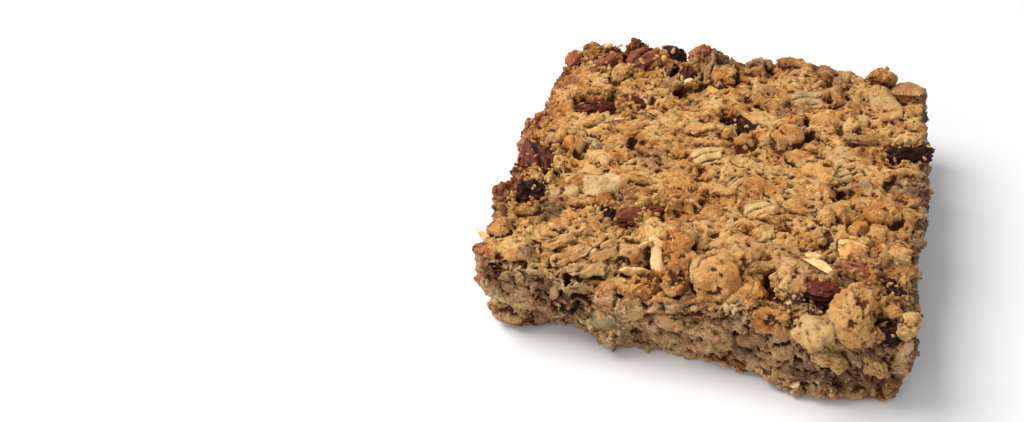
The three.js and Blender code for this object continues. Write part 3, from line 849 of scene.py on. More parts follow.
class Dough:
    """One closed piece of the dough.

    base: points on the smooth skin; spot: where they have been moved to; normal: the way out of
    the skin; rise: how far each has been moved out in all; skin: whether it shows; part: 0 top
    sheet, 1 sides, 2 base sheet."""

    def __init__(self, high, low, levels, top_step, base_step):
        box_points, self.quads, self.fans, self.part = band_box(high, low, levels, top_step, base_step)
        self.box_height = box_points[:, 2]
        self.base, self.out = skin(box_points)
        self.edges = np.vstack(
            [self.quads[:, [k, (k + 1) % 4]] for k in range(4)]
            + [self.fans[:, [k, (k + 1) % 3]] for k in range(3)]
        )
        hidden_top = (self.part == 0) & (top_step > 1)
        hidden_base = (self.part == 2) & (low > 0)
        self.skin = ~(hidden_top | hidden_base)
        self.base[:, 2] *= np.where(self.skin, 1, SUNK)
        size = len(self.base)
        self.rise, self.warm, self.pale, self.groove = (np.zeros(size) for _ in range(4))
        self.tone = np.full(size, 0.5)
        self.spot = self.base.copy()
        self.turn_out(SMOOTH_ROUNDS)
        self.facing = self.normal.copy()

    def blurred(self, values, rounds):
        """values averaged with their neighbours' again and again."""
        a, b = self.edges.T
        size = len(values)
        links = np.maximum(np.bincount(a, minlength=size) + np.bincount(b, minlength=size), 1)
        for _ in range(rounds):
            total = np.bincount(a, values[b], size) + np.bincount(b, values[a], size)
            values = 0.5 * values + 0.5 * total / links
        return values

    def turn_out(self, rounds):
        """Takes the way out from the mesh as it is, averaged over the neighbours."""
        a, b, c, d = (self.spot[self.quads[:, k]] for k in range(4))
        across = np.cross(c - a, d - b)
        total = [
            sum(np.bincount(self.quads[:, k], across[:, axis], len(self.spot)) for k in range(4))
            for axis in range(3)
        ]
        turned = unit(np.stack([self.blurred(values, rounds) for values in total], -1))
        self.normal = np.where(self.skin[:, None], turned, self.out)

    def move(self, rise):
        """Moves the skin out by rise along its normals; the foot moves less, the base not at all
        outwards, and none below the base plane."""
        held = self.base[:, 2] < 0.02
        rise = rise * self.skin * (0.35 + 0.65 * smoothstep(self.base[:, 2], -0.4, 1.4))
        rise = np.where(held & (self.part == 2), np.minimum(rise - 0.45, 0), rise)
        self.spot = self.spot + self.normal * rise[:, None]
        self.spot[:, 2] = np.maximum(self.spot[:, 2], 0)
        self.rise = self.rise + rise

    def on_face(self, face):
        """Where the skin faces a face's way, the places along and up it."""
        axis, sense, a, b = FACES[face]
        return sense * self.facing[:, axis] > FACING, self.base[:, [a, b]]

    def wavy_places(self, face, much, spacing, salt):
        """The points on a face, and their places on it pushed about by ragged noise."""
        shows, place = self.on_face(face)
        ids = np.flatnonzero(shows)
        push = [ragged(self.base[ids], spacing, salt + k) for k in (0, 10)]
        return ids, place[ids] + much * np.stack(push, -1)

    def heave(self, names):
        """The broad shape: clods, swelling clumps, crevices, and room for nuts and heavy clumps."""
        q = bent(self.base, self.base, 1.2, 3.0, 3)
        rise = 0.75 * (clump(q / 4.8) - CLUMP_MEAN) - 0.25
        for face, table in (("top", TOP_CLUMPS), ("front", FRONT_CLUMPS)):
            ids, wavy = self.wavy_places(face, 1.1, 3.6, 7)
            for along, up, length, width, height, bearing, tone, warm in table:
                r = oval(*oval_shares(wavy, along, up, length, width, bearing))
                dome = height * np.clip(1 - r**3, 0, 1) ** 0.9
                moat = -0.35 * height * np.exp(-(((r - 1.12) / 0.14) ** 2))
                on = smoothstep(1.04 - r, 0, 0.1)
                raised = np.maximum(rise[ids] * 0.4 + dome, rise[ids])
                rise[ids] = np.where(dome > 0, raised, rise[ids]) + moat
                self.warm[ids] = np.maximum(self.warm[ids], warm * on)
                self.tone[ids] += on * (tone - self.tone[ids])
        self.clumped = self.tone != 0.5
        self.gap = self.crevices("top", CREVICES) + self.crevices("front", FRONT_CREVICES)
        rise = swelled(rise + (self.room(names) - self.gap), DENTS, self.base, 0.6)
        for row in BOULDERS:
            away = np.linalg.norm((self.base - row[:3]) @ boulder_axes(row).T / row[3:6], axis=1)
            rise -= 1.7 * (1 - smoothstep(away, 1.0, 1.45))
        self.move(rise)
        self.turn_out(HEAVED_ROUNDS)

    def crevices(self, face, table):
        """How deep the crevices of a face go: half an oval in section, on a bent line."""
        ids, wavy = self.wavy_places(face, 1.6, 3.0, 8)
        deep = np.zeros(len(self.base))
        for along, up, length, width, bearing, depth in table:
            r = oval(*oval_shares(wavy, along, up, length, width, bearing))
            deep[ids] = np.maximum(deep[ids], 1.3 * depth * np.clip(1 - r**2, 0, 1) ** 0.7)
        return deep

    def room(self, names):
        """Sinks the skin over the nuts and raisins, so that they show, and heaps it round them."""
        total = np.zeros(len(self.base))
        wander = 0.8 * ragged(self.base, 2.4, 27)
        for name in names:
            middle, axes, outline = lying(name)
            along = (self.base - middle) @ axes.T
            long, wide = outline * LAPPED.get(name, (1.0, 1.0))
            close = np.abs(along[:, 2]) < NUT_DEPTH
            whole = np.hypot(along[:, 0] / outline[0], along[:, 1] / outline[1])
            away = np.hypot(along[:, 0] / long, along[:, 1] / wide)
            away = np.where(close, away + wander, FAR)
            total += 0.4 * np.exp(-(((away - 1.2) / 0.22) ** 2))
            total += 1.1 * smoothstep(away, 0.95, 1.2) * (1 - smoothstep(whole, 0.95, 1.2)) * close
            total -= 1.9 * (1 - smoothstep(away, 0.66, 1.02))
        return total

    def knead(self):
        """The fine relief, worked out at the heaved skin so that it runs over the clumps."""
        cut = cut_at(self.facing)
        coarse, fine = np.zeros(len(cut)), np.zeros(len(cut))
        for relief, share in ((open_relief, 1 - cut), (cut_relief, cut)):
            ids = np.flatnonzero((share > 0.02) & self.skin)
            heavy, light, tone = relief(self.spot[ids], self.normal[ids])
            rough = 1 + 0.45 * smoothstep(toast_at(self.spot[ids], self.facing[ids]), 0.25, 0.7)
            coarse[ids] += share[ids] * heavy * rough * np.where(self.clumped[ids], 0.6, 1.0)
            fine[ids] += share[ids] * light
            told = np.where(self.clumped[ids], 0.5 * self.tone[ids] + 0.5 * tone, tone)
            self.tone[ids] = np.where(share[ids] > 0.5, told, self.tone[ids])
        self.move(self.press(self.blurred(coarse, 1) + fine))

    def press(self, rise):
        """Lays the pale flakes flush in the top: each a wavy oval with a crisp rim, as smooth as
        a flake, that the dough laps over here and there."""
        shows, place = self.on_face("top")
        calm = self.blurred(rise, CALM_ROUNDS)
        uneven = ragged(self.base, 1.6, 61)
        for x, y, length, width, bearing, proud, pale, ribbed, square in PRESSED:
            near = np.flatnonzero(shows & (((place - [x, y]) ** 2).sum(1) < (1.6 * length) ** 2))
            along, across = oval_shares(place[near], x, y, length, width, bearing)
            r = oval(along, across, 2 + 2.5 * square) + uneven[near] * (0.3 - 0.24 * square)
            on = smoothstep(1 - r, 0, 0.3 - 0.22 * square)
            lapped = smoothstep(uneven[near] + 0.5 * pale + 0.3 * square, -0.1, 0.06)
            ribs = across + 0.1 * np.sin(3 * along + x)
            fold = ribbed * (0.5 + 0.5 * np.cos(RIBS * ribs)) ** 3
            face = 0.6 * calm[near] + (proud - 0.1) * np.sqrt(np.clip(1 - 0.5 * r**2, 0, 1))
            face += 0.06 * uneven[near] - 0.35 * fold
            share = on * lapped
            rise[near] = rise[near] * (1 - share) + share * face
            clean = np.clip(0.9 + 0.6 * (1 - square) * uneven[near], 0.5, 1)
            # the paleness lessened in the rib grooves: painted shade there
            self.pale[near] = np.maximum(self.pale[near], pale * share * clean * (1 - 0.7 * fold))
            self.groove[near] = np.maximum(self.groove[near], share * fold)
        return rise

    def tuck(self, height, sense):
        """Turns the rim in where it passes above (sense 1) or below (sense -1) a height."""
        past = sense * (self.box_height - height)
        turned = (smoothstep(past, 0, 1.2) * (self.part == 1))[:, None]
        self.spot = self.spot * (1 - turned) + (self.base - self.out * TUCK) * turned

    def bake(self):
        """The looks that go with a place, and how far below and above its neighbours it lies: for
        painted shade and a painted highlight.
        """
        fine = self.rise - self.blurred(self.rise, FINE_ROUNDS)
        broad = self.rise - self.blurred(self.rise, BROAD_ROUNDS)
        under = (self.part == 2).astype(float)
        self.looks = {
            "tone": self.tone,
            "warm": self.warm,
            "pale": self.pale,
            "toast": toast_at(self.spot, self.facing) * (1 - 0.75 * under),
            "cut": cut_at(self.facing),
            "dusk": dusk_at(self.spot, self.facing) * (1 - under),
            "under": under,
            # painted shade: darker the deeper a point lies below its neighbours, and in the rib grooves
            # of the pressed flakes
            "pit_shade": np.clip(-(1.2 * fine + 0.7 * broad) + 0.2 * self.groove, 0, 1.2),
            # crevice depth, which the finish paints as shade
            "gap": self.gap,
            # painted highlight: lighter the higher a point stands above its neighbours
            "peak_highlight": np.clip(fine + 0.6 * broad, 0, 1.2),
        }


def lip_height(base):
    """The wandering height at which the crust's rim ends."""
    return CRUST_END + 1.5 * (drift(base / 4.0, 18) + 0.5) + 0.7 * drift(base / 1.4, 19)


def make_dough(names):
    """The crust and the sides under it."""
    crust = Dough(HEIGHT, HEIGHT - SKIRT, SKIRT_LEVELS, 1, HIDDEN_STEP)
    sides = Dough(SIDE_TOP, 0, SIDE_LEVELS, HIDDEN_STEP, BASE_STEP)
    for dough in (crust, sides):
        dough.heave(names)
        dough.level = dough.spot.copy()
        dough.knead()
    lip = LIP * (crust.part == 1) * smoothstep(crust.facing[:, 2], 0.7, 0.2)
    crust.spot += crust.facing * lip[:, None]
    crust.tuck(lip_height(crust.base), -1)
    sides.tuck(SIDES_TURN_IN, 1)
    for dough in (crust, sides):
        dough.bake()
    return crust, sides


# ================================ Places on the dough ================================
class Ground:
    """The showing skin of the crust and the sides together, for setting things on."""

    def __init__(self, crust, sides, names):
        pieces = (crust, sides)
        shows = [
            crust.skin & (crust.box_height > lip_height(crust.base)),
            sides.skin & (sides.box_height < SIDES_SHOW),
        ]

        def joined(values):
            return np.concatenate([v[mask] for v, mask in zip(values, shows)])

        self.spot = joined([p.spot for p in pieces])
        self.level = joined([p.level for p in pieces])
        self.normal = joined([p.normal for p in pieces])
        self.facing = joined([p.facing for p in pieces])
        self.looks = {key: joined([p.looks[key] for p in pieces]) for key in crust.looks}
        self.under = self.looks["under"] > 0.5
        self.away = np.full(len(self.spot), FAR)
        for name in names:
            middle, axes, outline = lying(name)
            near = (self.spot - middle) @ axes.T
            reach = np.hypot(near[:, 0] / outline[0], near[:, 1] / outline[1])
            reach = np.where(np.abs(near[:, 2]) < NUT_DEPTH, reach, FAR)
            self.away = np.minimum(self.away, reach)
        self.clear = self.away > 1.1

    def sites(self, spacing, where):
        """One random point in each cube of that spacing, among the points where `where` holds."""
        chosen = rng.permutation(np.flatnonzero(where))
        cell = np.floor((self.spot[chosen] + rng.uniform(0, spacing, 3)) / spacing).astype(int)
        _, first = np.unique(cell, axis=0, return_index=True)
        return chosen[first]

    def nearest(self, face, places):
        """The points of a face nearest to places (along, up) on it."""
        axis, sense, a, b = FACES[face]
        ids = np.flatnonzero(sense * self.facing[:, axis] > FACING_WELL)
        flat = self.level[ids][:, [a, b]]
        return np.array([ids[np.argmin(((flat - place) ** 2).sum(1))] for place in places])


def random_axes(normal, turn, tip):
    """Axes u, v, w at each normal: w is the normal tipped by `tip` degrees towards a random
    bearing, and u is level on a side or along X on the top, turned by `turn` degrees."""
    flat = np.abs(normal[:, 2:]) > 0.7
    level = np.where(flat, [[1.0, 0, 0]], np.cross([[0, 0, 1.0]], normal))
    u = unit(level - normal * (level * normal).sum(1, keepdims=True))
    v = np.cross(normal, u)
    bearing = rng.uniform(0, 2 * np.pi, len(normal))[:, None]
    slope = np.radians(tip)[:, None]
    w = normal * np.cos(slope) + (u * np.cos(bearing) + v * np.sin(bearing)) * np.sin(slope)
    angle = np.radians(turn)[:, None]
    u = u * np.cos(angle) + v * np.sin(angle)
    u = unit(u - w * (u * w).sum(1, keepdims=True))
    return np.stack([u, np.cross(w, u), w], 1)


def hand_axes(face, normal, bearing, lean, pitch):
    """Axes u, v, w at each normal: u along the bearing on the face, then its +v side lifted by
    `lean` degrees and its +u end by `pitch` degrees."""
    _, _, a, b = FACES[face]
    bearing, lean, pitch = (np.radians(d)[:, None] for d in (bearing, lean, pitch))
    level = np.eye(3)[a] * np.cos(bearing) + np.eye(3)[b] * np.sin(bearing)
    u = unit(level - normal * (level * normal).sum(1, keepdims=True))
    v = np.cross(normal, u)
    v, w = v * np.cos(lean) + normal * np.sin(lean), normal * np.cos(lean) - v * np.sin(lean)
    u, w = u * np.cos(pitch) + w * np.sin(pitch), w * np.cos(pitch) - u * np.sin(pitch)
    return np.stack([u, v, w], 1)


def set_down(local, axes, centre):
    """Copies' points from their own axes to the bar's, each copy raised clear of the base."""
    spot = centre[:, None] + np.einsum("nki,nij->nkj", local, axes)
    low = spot[..., 2].min(1)
    spot[..., 2] += np.maximum(0, BASE_CLEARANCE - low)[:, None]
    return spot.reshape(-1, 3)


# ================================ Flakes ================================
def flakes(name, material, centre, axes, length, width, thick, square, **looks):
    """Rolled oat flakes: thin plates with a wavy outline and rounded rims, bent by a saddle of
    random curvature and uneven all over, with a coat of dough where they aren't pale.

    Points are at (r cos t, r sin t) times the half-lengths, r running out over the upper side,
    round the rim and back under."""
    polar, faces = plate_grid(*FLAKE_DETAIL)
    n, (radius, angle, side) = len(centre), polar.T
    wave = rng.uniform(0, 2 * np.pi, (n, 4))
    outline = 1 + 0.07 * np.sin(2 * angle + wave[:, :1]) + 0.06 * np.sin(3 * angle + wave[:, 1:2])
    outline = outline + 0.05 * np.sin(5 * angle + wave[:, 2:3]) + 0.025 * np.sin(9 * angle + wave[:, 3:])
    corner = (np.cos(angle) ** 4 + np.sin(angle) ** 4) ** -0.25
    outline = outline * (1 + square[:, None] * (corner - 1))
    for _ in range(4):
        bite, at = spread(-0.08, 0.26, n)[:, None], spread(0, 2 * np.pi, n)[:, None]
        outline = outline - np.maximum(bite, 0) * np.exp((np.cos(angle - at) - 1) / 0.035)
    along = radius * np.cos(angle) * outline
    across = radius * np.sin(angle) * outline
    body = np.sqrt(np.clip(1 - radius**5, 0, 1))
    cup, twist, arch = (rng.uniform(-1, 1, (n, 1)) * FLAKE_BEND for _ in range(3))
    lift = side * body * thick[:, None] / 2
    lift = lift + cup * across**2 + twist * along * across + arch * along**2
    local = np.stack([along * length[:, None], across * width[:, None], lift], -1)
    flat = (local + rng.uniform(-99, 99, (n, 1, 3))).reshape(-1, 3)
    uneven = 0.4 * drift(flat / 1.6, 51) + 0.2 * drift(flat / 0.7, 52)
    coat = (0.34 * (clump(flat / 0.95) - CLUMP_MEAN) + 0.2).reshape(n, -1)
    coat = coat * (side > 0) * (1 - looks["pale"][:, None])
    local[..., 2] += (uneven.reshape(n, -1) + coat) * (1 - 0.6 * radius**6)
    many(name, material, set_down(local, axes, centre), faces, len(polar), looks, local=flat)


# Flakes that show plainly, on the top at (x, y): middle, half-length, half-width, bearing, lean,
# pitch, how far above the dough, paleness, squareness, tone.
TOP_FLAKES = [
    (40, 36.6, 4, 2.6, -14, -4, -6, 1.1, 0.35, 0.5, 0.1),
    (9.2, 14.8, 1.7, 0.4, -74, 20, 14, 0.7, 0.9, 0, 0.7),
    (-23.6, 11.2, 1.9, 0.3, 14, 30, 0, 0.5, 0.9, 0, 0.6),
    (-10.8, 30.4, 1.8, 0.9, 10, 10, 0, 0.2, 0.9, 0.2, 0.8),
    (25, -28.3, 3.6, 0.95, -38, 10, 6, 0.7, 0.86, 0.3, 0.7),
    (23.6, -26.2, 1.7, 0.7, 4, 10, 6, 0.6, 0.92, 0.3, 0.7),
    (-5.8, -31.4, 3.2, 1.4, -74, 8, -4, 0.4, 0.85, 0.4, 0.7),
    (-6.4, -28.2, 1.9, 1, -20, 10, 0, 0.4, 0.85, 0.3, 0.7),
    (-9.6, -34, 3, 1.3, -20, 10, 0, 0.5, 0.78, 0.3, 0.7),
    (-8.8, -30.6, 2.4, 0.4, 56, 10, 6, 0.6, 0.8, 0, 0.8),
    (-41.4, -33, 2.4, 1.4, 170, 0, 45, 0.3, 0.75, 0.3, 0.6),
    (-32, 38.4, 1.4, 0.7, 50, 20, 10, 0.6, 0.9, 0.3, 0.8),
    (-29.4, 39.4, 1.1, 0.6, -40, 10, 20, 1.3, 0.9, 0.3, 0.8),
    (-18.2, 35.6, 1.4, 0.8, 20, 10, 0, 1, 0.85, 0.3, 0.8),
    (-21.6, 37.6, 1, 0.6, 70, 10, 20, 1.4, 0.9, 0.3, 0.8),
    (-37.6, -8.8, 1.2, 0.8, 40, 0, 0, 0.8, 0.6, 0.3, 0.6),
]
# The same on the front, at (x, z).
FRONT_FLAKES = [
    (-15.4, 5.2, 2, 0.7, -20, 10, 0, 0.5, 0.85, 0.2, 0.8),
    (29.6, 17.6, 2.4, 0.9, -62, 10, 0, 1.4, 0.8, 0.2, 0.9),
    (24, 3.6, 1.2, 0.8, 70, 0, 0, -0.4, 0.7, 0.3, 0.8),
]
# Flakes coated all over with dough, on the top at (x, y): middle, half-length, half-width, half the
# thickness, bearing, lean, how far above the dough, tone, warmth, paleness.
COATED_TOP = [
    (7.3, 20.4, 4.9, 2.2, 0.65, -22, -8, 0.15, 0.7, 0.1, 0.1),
    (11.2, -25.6, 4.4, 3.1, 0.65, -4, 14, 0.25, 0.75, 0.1, 0.15),
    (-22.6, -34, 4.4, 1.5, 0.72, 46, 0, 0.35, 0.8, 0.1, 0.2),
    (-25.6, -31.8, 4, 1.3, 0.65, 44, 0, 0.25, 0.7, 0.2, 0.1),
    (-18.8, -36.6, 4, 1.9, 0.65, 24, -6, 0.25, 0.85, 0, 0.4),
    (-29.4, -31, 3.2, 2.7, 0.65, 20, -8, -0.05, 0.6, 0.2, 0.1),
    (-16.6, -32.6, 3.4, 1.3, 0.58, 38, 0, 0.15, 0.7, 0.3, 0),
    (-12.6, -37.6, 3.4, 1.2, 0.58, 30, 0, 0.05, 0.75, 0.2, 0.1),
    (-29, 9.8, 5, 2, 0.58, 12, -6, 0.05, 0.7, 0.1, 0.1),
    (26.8, -9.6, 3.6, 2, 0.58, 30, 10, 0.05, 0.8, 0.1, 0.1),
    (21.8, 2.6, 4.6, 3.4, 0.58, -44, 12, -0.05, 0.75, 0.1, 0.05),
    (19.8, -9.8, 4.6, 2, 0.58, 6, 8, 0.05, 0.7, 0.1, 0.1),
    (-4.6, 12.6, 3.6, 1.8, 0.5, 18, -8, 0.05, 0.7, 0.2, 0.1),
    (-13.8, 14.8, 3.8, 1.7, 0.5, -14, 8, 0.05, 0.75, 0.1, 0.1),
    (3, -9.6, 3.4, 1.6, 0.5, 10, -8, 0.05, 0.7, 0.2, 0.1),
    (-36.6, 12, 3, 1.7, 0.58, 60, 10, 0.05, 0.6, 0.4, 0),
    (13.8, -19.8, 3, 1.5, 0.5, 50, 8, 0.05, 0.8, 0.1, 0.2),
    (-9, -8, 3.4, 1.8, 0.5, -30, 8, 0, 0.7, 0.1, 0.1),
    (30.4, 15.4, 3.4, 1.9, 0.58, 20, -10, 0.05, 0.7, 0.1, 0.1),
    (14.6, 34.4, 3.4, 2, 0.58, -20, 8, 0.05, 0.7, 0.2, 0.1),
]
# The same on the front, at (x, z).
COATED_FRONT = [
    (-31, 8.4, 2.5, 1.6, 0.56, -24, 0, -0.1, 0.9, 0, 0.5),
    (-24.4, 15, 2.4, 0.9, 0.48, 74, 0, 0, 0.6, 0, 0.1),
    (-8.6, 13.4, 2.6, 1.8, 0.56, 10, 0, 0, 0.75, 0.1, 0.1),
    (-1.4, 12, 3.2, 1.8, 0.56, 4, 0, 0, 0.75, 0.1, 0.15),
    (-33.4, 16.4, 2.4, 1.3, 0.48, 10, 0, -0.1, 0.85, 0, 0.3),
    (42, 15, 3, 1.3, 0.64, 78, 0, -0.1, 0.8, 0.2, 0.3),
    (5.6, 11.4, 3, 1.4, 0.56, -8, 0, -0.1, 0.35, 0, 0),
    (14.6, 11, 2.8, 1.5, 0.56, 12, 0, -0.1, 0.3, 0.1, 0),
    (20.6, 8.2, 2.6, 1.3, 0.56, 30, 0, -0.1, 0.7, 0, 0.2),
    (-37.6, 9.4, 2.4, 1.6, 0.56, 70, 0, -0.1, 0.8, 0.2, 0.2),
    (-27.4, 6.2, 1.6, 1.1, 0.48, 0, 0, -0.1, 0.9, 0, 0.4),
    (0.4, 6.8, 2.6, 1.3, 0.48, -14, 0, -0.1, 0.5, 0.3, 0),
    (8.8, 7, 2.2, 1.2, 0.48, 16, 0, -0.1, 0.85, 0, 0.2),
]


def placed(ground, face, normals, rows, above):
    """Where a table's rows lie on a face: the nearest points of the ground, the way out at each,
    and the rows' own places, this far above the dough."""
    site = ground.nearest(face, rows[:, :2])
    normal, place = normals[site], ground.level[site]
    place[:, FACES[face][2:]] = rows[:, :2]
    return site, normal, place + normal * above[:, None]


def coated_flakes(ground, face, table, name, material):
    """The coated flakes of a table, at their places on a face."""
    rows = np.array(table)
    bearing, lean, above, tone, warm, pale = rows[:, 5:].T
    site, normal, place = placed(ground, face, ground.facing, rows, above)
    clods(
        name,
        material,
        place,
        hand_axes(face, normal, bearing, lean, 0 * lean),
        rows[:, 2:5],
        np.full(len(rows), 0.15),
        tone,
        COATED_DETAIL,
        warm=warm,
        pale=pale,
        toast=ground.looks["toast"][site] * 0.5,
        cut=ground.looks["cut"][site],
        dusk=ground.looks["dusk"][site] * 0.6,
    )


def placed_flakes(ground, face, table, name, material):
    """The flakes of a table, at their places on a face."""
    rows = np.array(table)
    length, width, bearing, lean, pitch, above, pale, square, tone = rows[:, 2:].T
    site, normal, place = placed(ground, face, ground.normal, rows, above)
    flakes(
        name,
        material,
        place,
        hand_axes(face, normal, bearing, lean, pitch),
        length,
        width,
        spread(0.55, 0.8, len(rows)),
        square,
        tone=tone,
        pale=np.clip(1.4 * pale - 0.5, 0, 1),
        toast=ground.looks["toast"][site] * 0.15,
        cut=0.6 + 0.3 * ground.looks["cut"][site],
        # the less pale flakes greyed: moister dough and painted shade
        dusk=np.clip(0.9 - 1.4 * pale, 0, 0.5),
    )


# ================================ Nuggets and crumbs ================================
def clods(name, material, centre, axes, half, crumble, tone, detail, **looks):
    """Clods of dough: blunt balls bent by broad swells, with the dough's own torn relief, all
    pushed out along the ball's normals; the smaller a clod, the less.

    Returns the clods' points and their normals."""
    ball, faces = ball_grid(*detail)
    n, size = len(centre), len(ball)
    blunt = ball * ((np.abs(ball) ** 2.5).sum(1) ** -0.4)[:, None]
    smooth = np.einsum("nki,nij->nkj", blunt * half[:, None], axes) + centre[:, None]
    out = np.einsum("nki,nij->nkj", unit(ball / half[:, None]), axes).reshape(-1, 3)
    smooth = smooth.reshape(-1, 3)
    reach = np.repeat(half.min(1), size)
    swell = 0.9 * drift(smooth / 3.2, 81) + 0.5 * drift(smooth / 1.5, 82)
    smooth = smooth + out * (np.minimum(reach + 0.25, 1.9) * swell)[:, None]
    coarse, fine, own_tone = open_relief(smooth, out, np.repeat(crumble, size))
    rise = 0.62 * coarse + 1.05 * fine
    rise -= np.repeat(rise.reshape(n, size).mean(1), size)
    rise *= np.repeat(np.clip(half[:, 1] / 2.2, 0.5, 1), size)
    spot = smooth + out * rise[:, None]
    spot[:, 2] = np.maximum(spot[:, 2], BASE_CLEARANCE)
    relief = {
        "tone": 0.5 * own_tone + 0.5 * np.repeat(tone, size),
        # painted shade in the hollows of each clod
        "pit_shade": np.clip(-1.2 * rise - 0.15, 0, 1.2),
        # painted highlight on the rises of each clod
        "peak_highlight": np.clip(0.9 * rise, 0, 1.2),
    }
    many(name, material, spot, faces, size, looks, **relief)
    return spot, out


def rim_clods(ground, site, name, material):
    """Toasted clumps along the rims that baked against the tin."""
    n = len(site)
    size = spread(0.8, 1.6, n)
    size *= 1 - 0.4 * (ground.spot[site, 0] > -6)
    clods(
        name,
        material,
        ground.level[site] + ground.normal[site] * (size * spread(-0.7, -0.1, n))[:, None],
        random_axes(ground.normal[site], spread(0, 180, n), spread(0, 30, n)),
        size[:, None] * rng.uniform([1.0, 0.7, 0.5], [1.8, 1.3, 0.8], (n, 3)),
        spread(0.1, 0.5, n),
        spread(0.0, 0.7, n),
        TOASTED_DETAIL,
        warm=spread(0, 0.8, n),
        toast=ground.looks["toast"][site] * spread(0.6, 1.2, n),
        cut=ground.looks["cut"][site],
    )


def crumbs(place, normal, size, stretch, turn, detail, name, material, slot="oat", **looks):
    """Crumbs: balls with each point pushed in or out at random, longer one way than the others
    by `stretch`, bent, and turned up to `turn` degrees either way."""
    ball, faces = ball_grid(*detail)
    n = len(place)
    rough = 1 + rng.uniform(-0.2, 0.2, (n, len(ball)))
    half = np.column_stack([size * stretch, size, size * spread(0.55, 0.95, n)])
    local = ball[None] * rough[..., None] * half[:, None]
    local[..., 2] += spread(-0.25, 0.25, n)[:, None] * local[..., 0] ** 2 / half[:, :1]
    axes = random_axes(normal, spread(-turn, turn, n), spread(0, 25, n))
    many(name, material, set_down(local, axes, place), faces, len(ball), looks, slot)


def strewn_crumbs(ground, site, sizes, stretches, sink, turn, detail, name, material):
    """Crumbs at random, sunk in the dough by a share of their size."""
    n = len(site)
    size = spread(*sizes, n)
    normal = ground.normal[site]
    looks = {key: ground.looks[key][site] for key in ("toast", "cut", "dusk")}
    tone = np.clip(ground.looks["tone"][site] + spread(-0.2, 0.3, n), 0, 1)
    crumbs(
        ground.spot[site] - normal * (sink * size)[:, None],
        normal,
        size,
        spread(*stretches, n),
        turn,
        detail,
        name,
        material,
        tone=tone,
        warm=spread(0, 1, n) ** 3,
        **looks,
    )


# ================================ Materials ================================
def linear(colour):
    """A colour given as 0-255 screen values, as the linear values that shaders take."""
    c = np.array(colour) / 255
    light = np.where(c <= 0.04045, c / 12.92, ((c + 0.055) / 1.055) ** 2.4)
    return (*light.tolist(), 1.0)


class Finish:
    """A material being wired, with short calls for the nodes that the finishes share."""

    def __init__(self, name):
        self.material = bpy.data.materials.new(name)
        self.material.use_nodes = True
        self.tree = self.material.node_tree
        self.surface = self.tree.nodes["Principled BSDF"]

    def feed(self, socket, value):
        """Links a socket to value if that is a socket too, and otherwise sets it."""
        if isinstance(value, bpy.types.NodeSocket):
            self.tree.links.new(value, socket)
        else:
            socket.default_value = value

    def node(self, kind, inputs=(), **settings):
        made = self.tree.nodes.new(kind)
        for key, value in settings.items():
            setattr(made, key, value)
        for key, value in dict(inputs).items():
            self.feed(made.inputs[key], value)
        return made

    def attribute(self, name):
        return self.node("ShaderNodeAttribute", attribute_name=name).outputs["Fac"]

    def place(self):
        return self.node("ShaderNodeTexCoord").outputs["Object"]

    def stretched(self, scale):
        """A piece's own coordinates, kept on it point by point, times `scale` on each axis."""
        local = self.node("ShaderNodeAttribute", attribute_name="local").outputs["Vector"]
        return self.node("ShaderNodeMapping", {"Vector": local, "Scale": scale}).outputs["Vector"]

    def noise(self, scale, detail=3.0, rough=0.6, vector=None, distortion=0.0):
        """Noise with `scale` swells per metre on the object's own coordinates."""
        inputs = {
            "Vector": vector or self.place(),
            "Scale": scale,
            "Detail": detail,
            "Roughness": rough,
            "Distortion": distortion,
        }
        return self.node("ShaderNodeTexNoise", inputs).outputs["Fac"]

    def cells(self, scale):
        """The distance to the nearest of random points, `scale` to a metre."""
        inputs = {"Vector": self.place(), "Scale": scale}
        return self.node("ShaderNodeTexVoronoi", inputs).outputs["Distance"]

    def plus(self, a, b):
        return self.node("ShaderNodeMath", {0: a, 1: b}, operation="ADD").outputs[0]

    def times(self, a, b):
        return self.node("ShaderNodeMath", {0: a, 1: b}, operation="MULTIPLY").outputs[0]

    def ramp(self, value, low, high, to_low=0.0, to_high=1.0):
        """value from low..high eased onto to_low..to_high, held inside them."""
        inputs = {"Value": value, "From Min": low, "From Max": high, "To Min": to_low, "To Max": to_high}
        made = self.node("ShaderNodeMapRange", inputs, interpolation_type="SMOOTHSTEP")
        return made.outputs["Result"]

    def steps(self, value, *stops):
        """A colour for value, shading between stops: a position, then a colour's three values."""
        made = self.node("ShaderNodeValToRGB", {"Fac": value})
        ramp = made.color_ramp
        while len(ramp.elements) < len(stops):
            ramp.elements.new(0.5)
        for element, (position, *colour) in zip(ramp.elements, stops):
            element.position = position
            element.color = linear(colour)
        return made.outputs["Color"]

    def mix(self, share, a, b, blend="MIX"):
        """Colour a under a share of colour b; each is a socket or three screen values."""
        a, b = (linear(colour) if isinstance(colour, tuple) else colour for colour in (a, b))
        inputs = {"Factor": share, 6: a, 7: b}
        return self.node("ShaderNodeMix", inputs, data_type="RGBA", blend_type=blend).outputs[2]

    def soften(self):
        """Lets light spread a little under the surface, the red of it furthest."""
        self.surface.inputs["Subsurface Weight"].default_value = 0.3
        self.surface.inputs["Subsurface Radius"].default_value = (1.0, 0.5, 0.22)
        self.surface.inputs["Subsurface Scale"].default_value = 0.0008

    def done(self, colour, rough, specular, height, distance, strength=1.0):
        """The finished material, with its bumps `distance` metres high."""
        self.feed(self.surface.inputs["Base Color"], colour)
        self.surface.inputs["Roughness"].default_value = rough
        self.surface.inputs["Specular IOR Level"].default_value = specular
        inputs = {"Height": height, "Distance": distance, "Strength": strength}
        bumps = self.node("ShaderNodeBump", inputs).outputs["Normal"]
        self.feed(self.surface.inputs["Normal"], bumps)
        return self.material


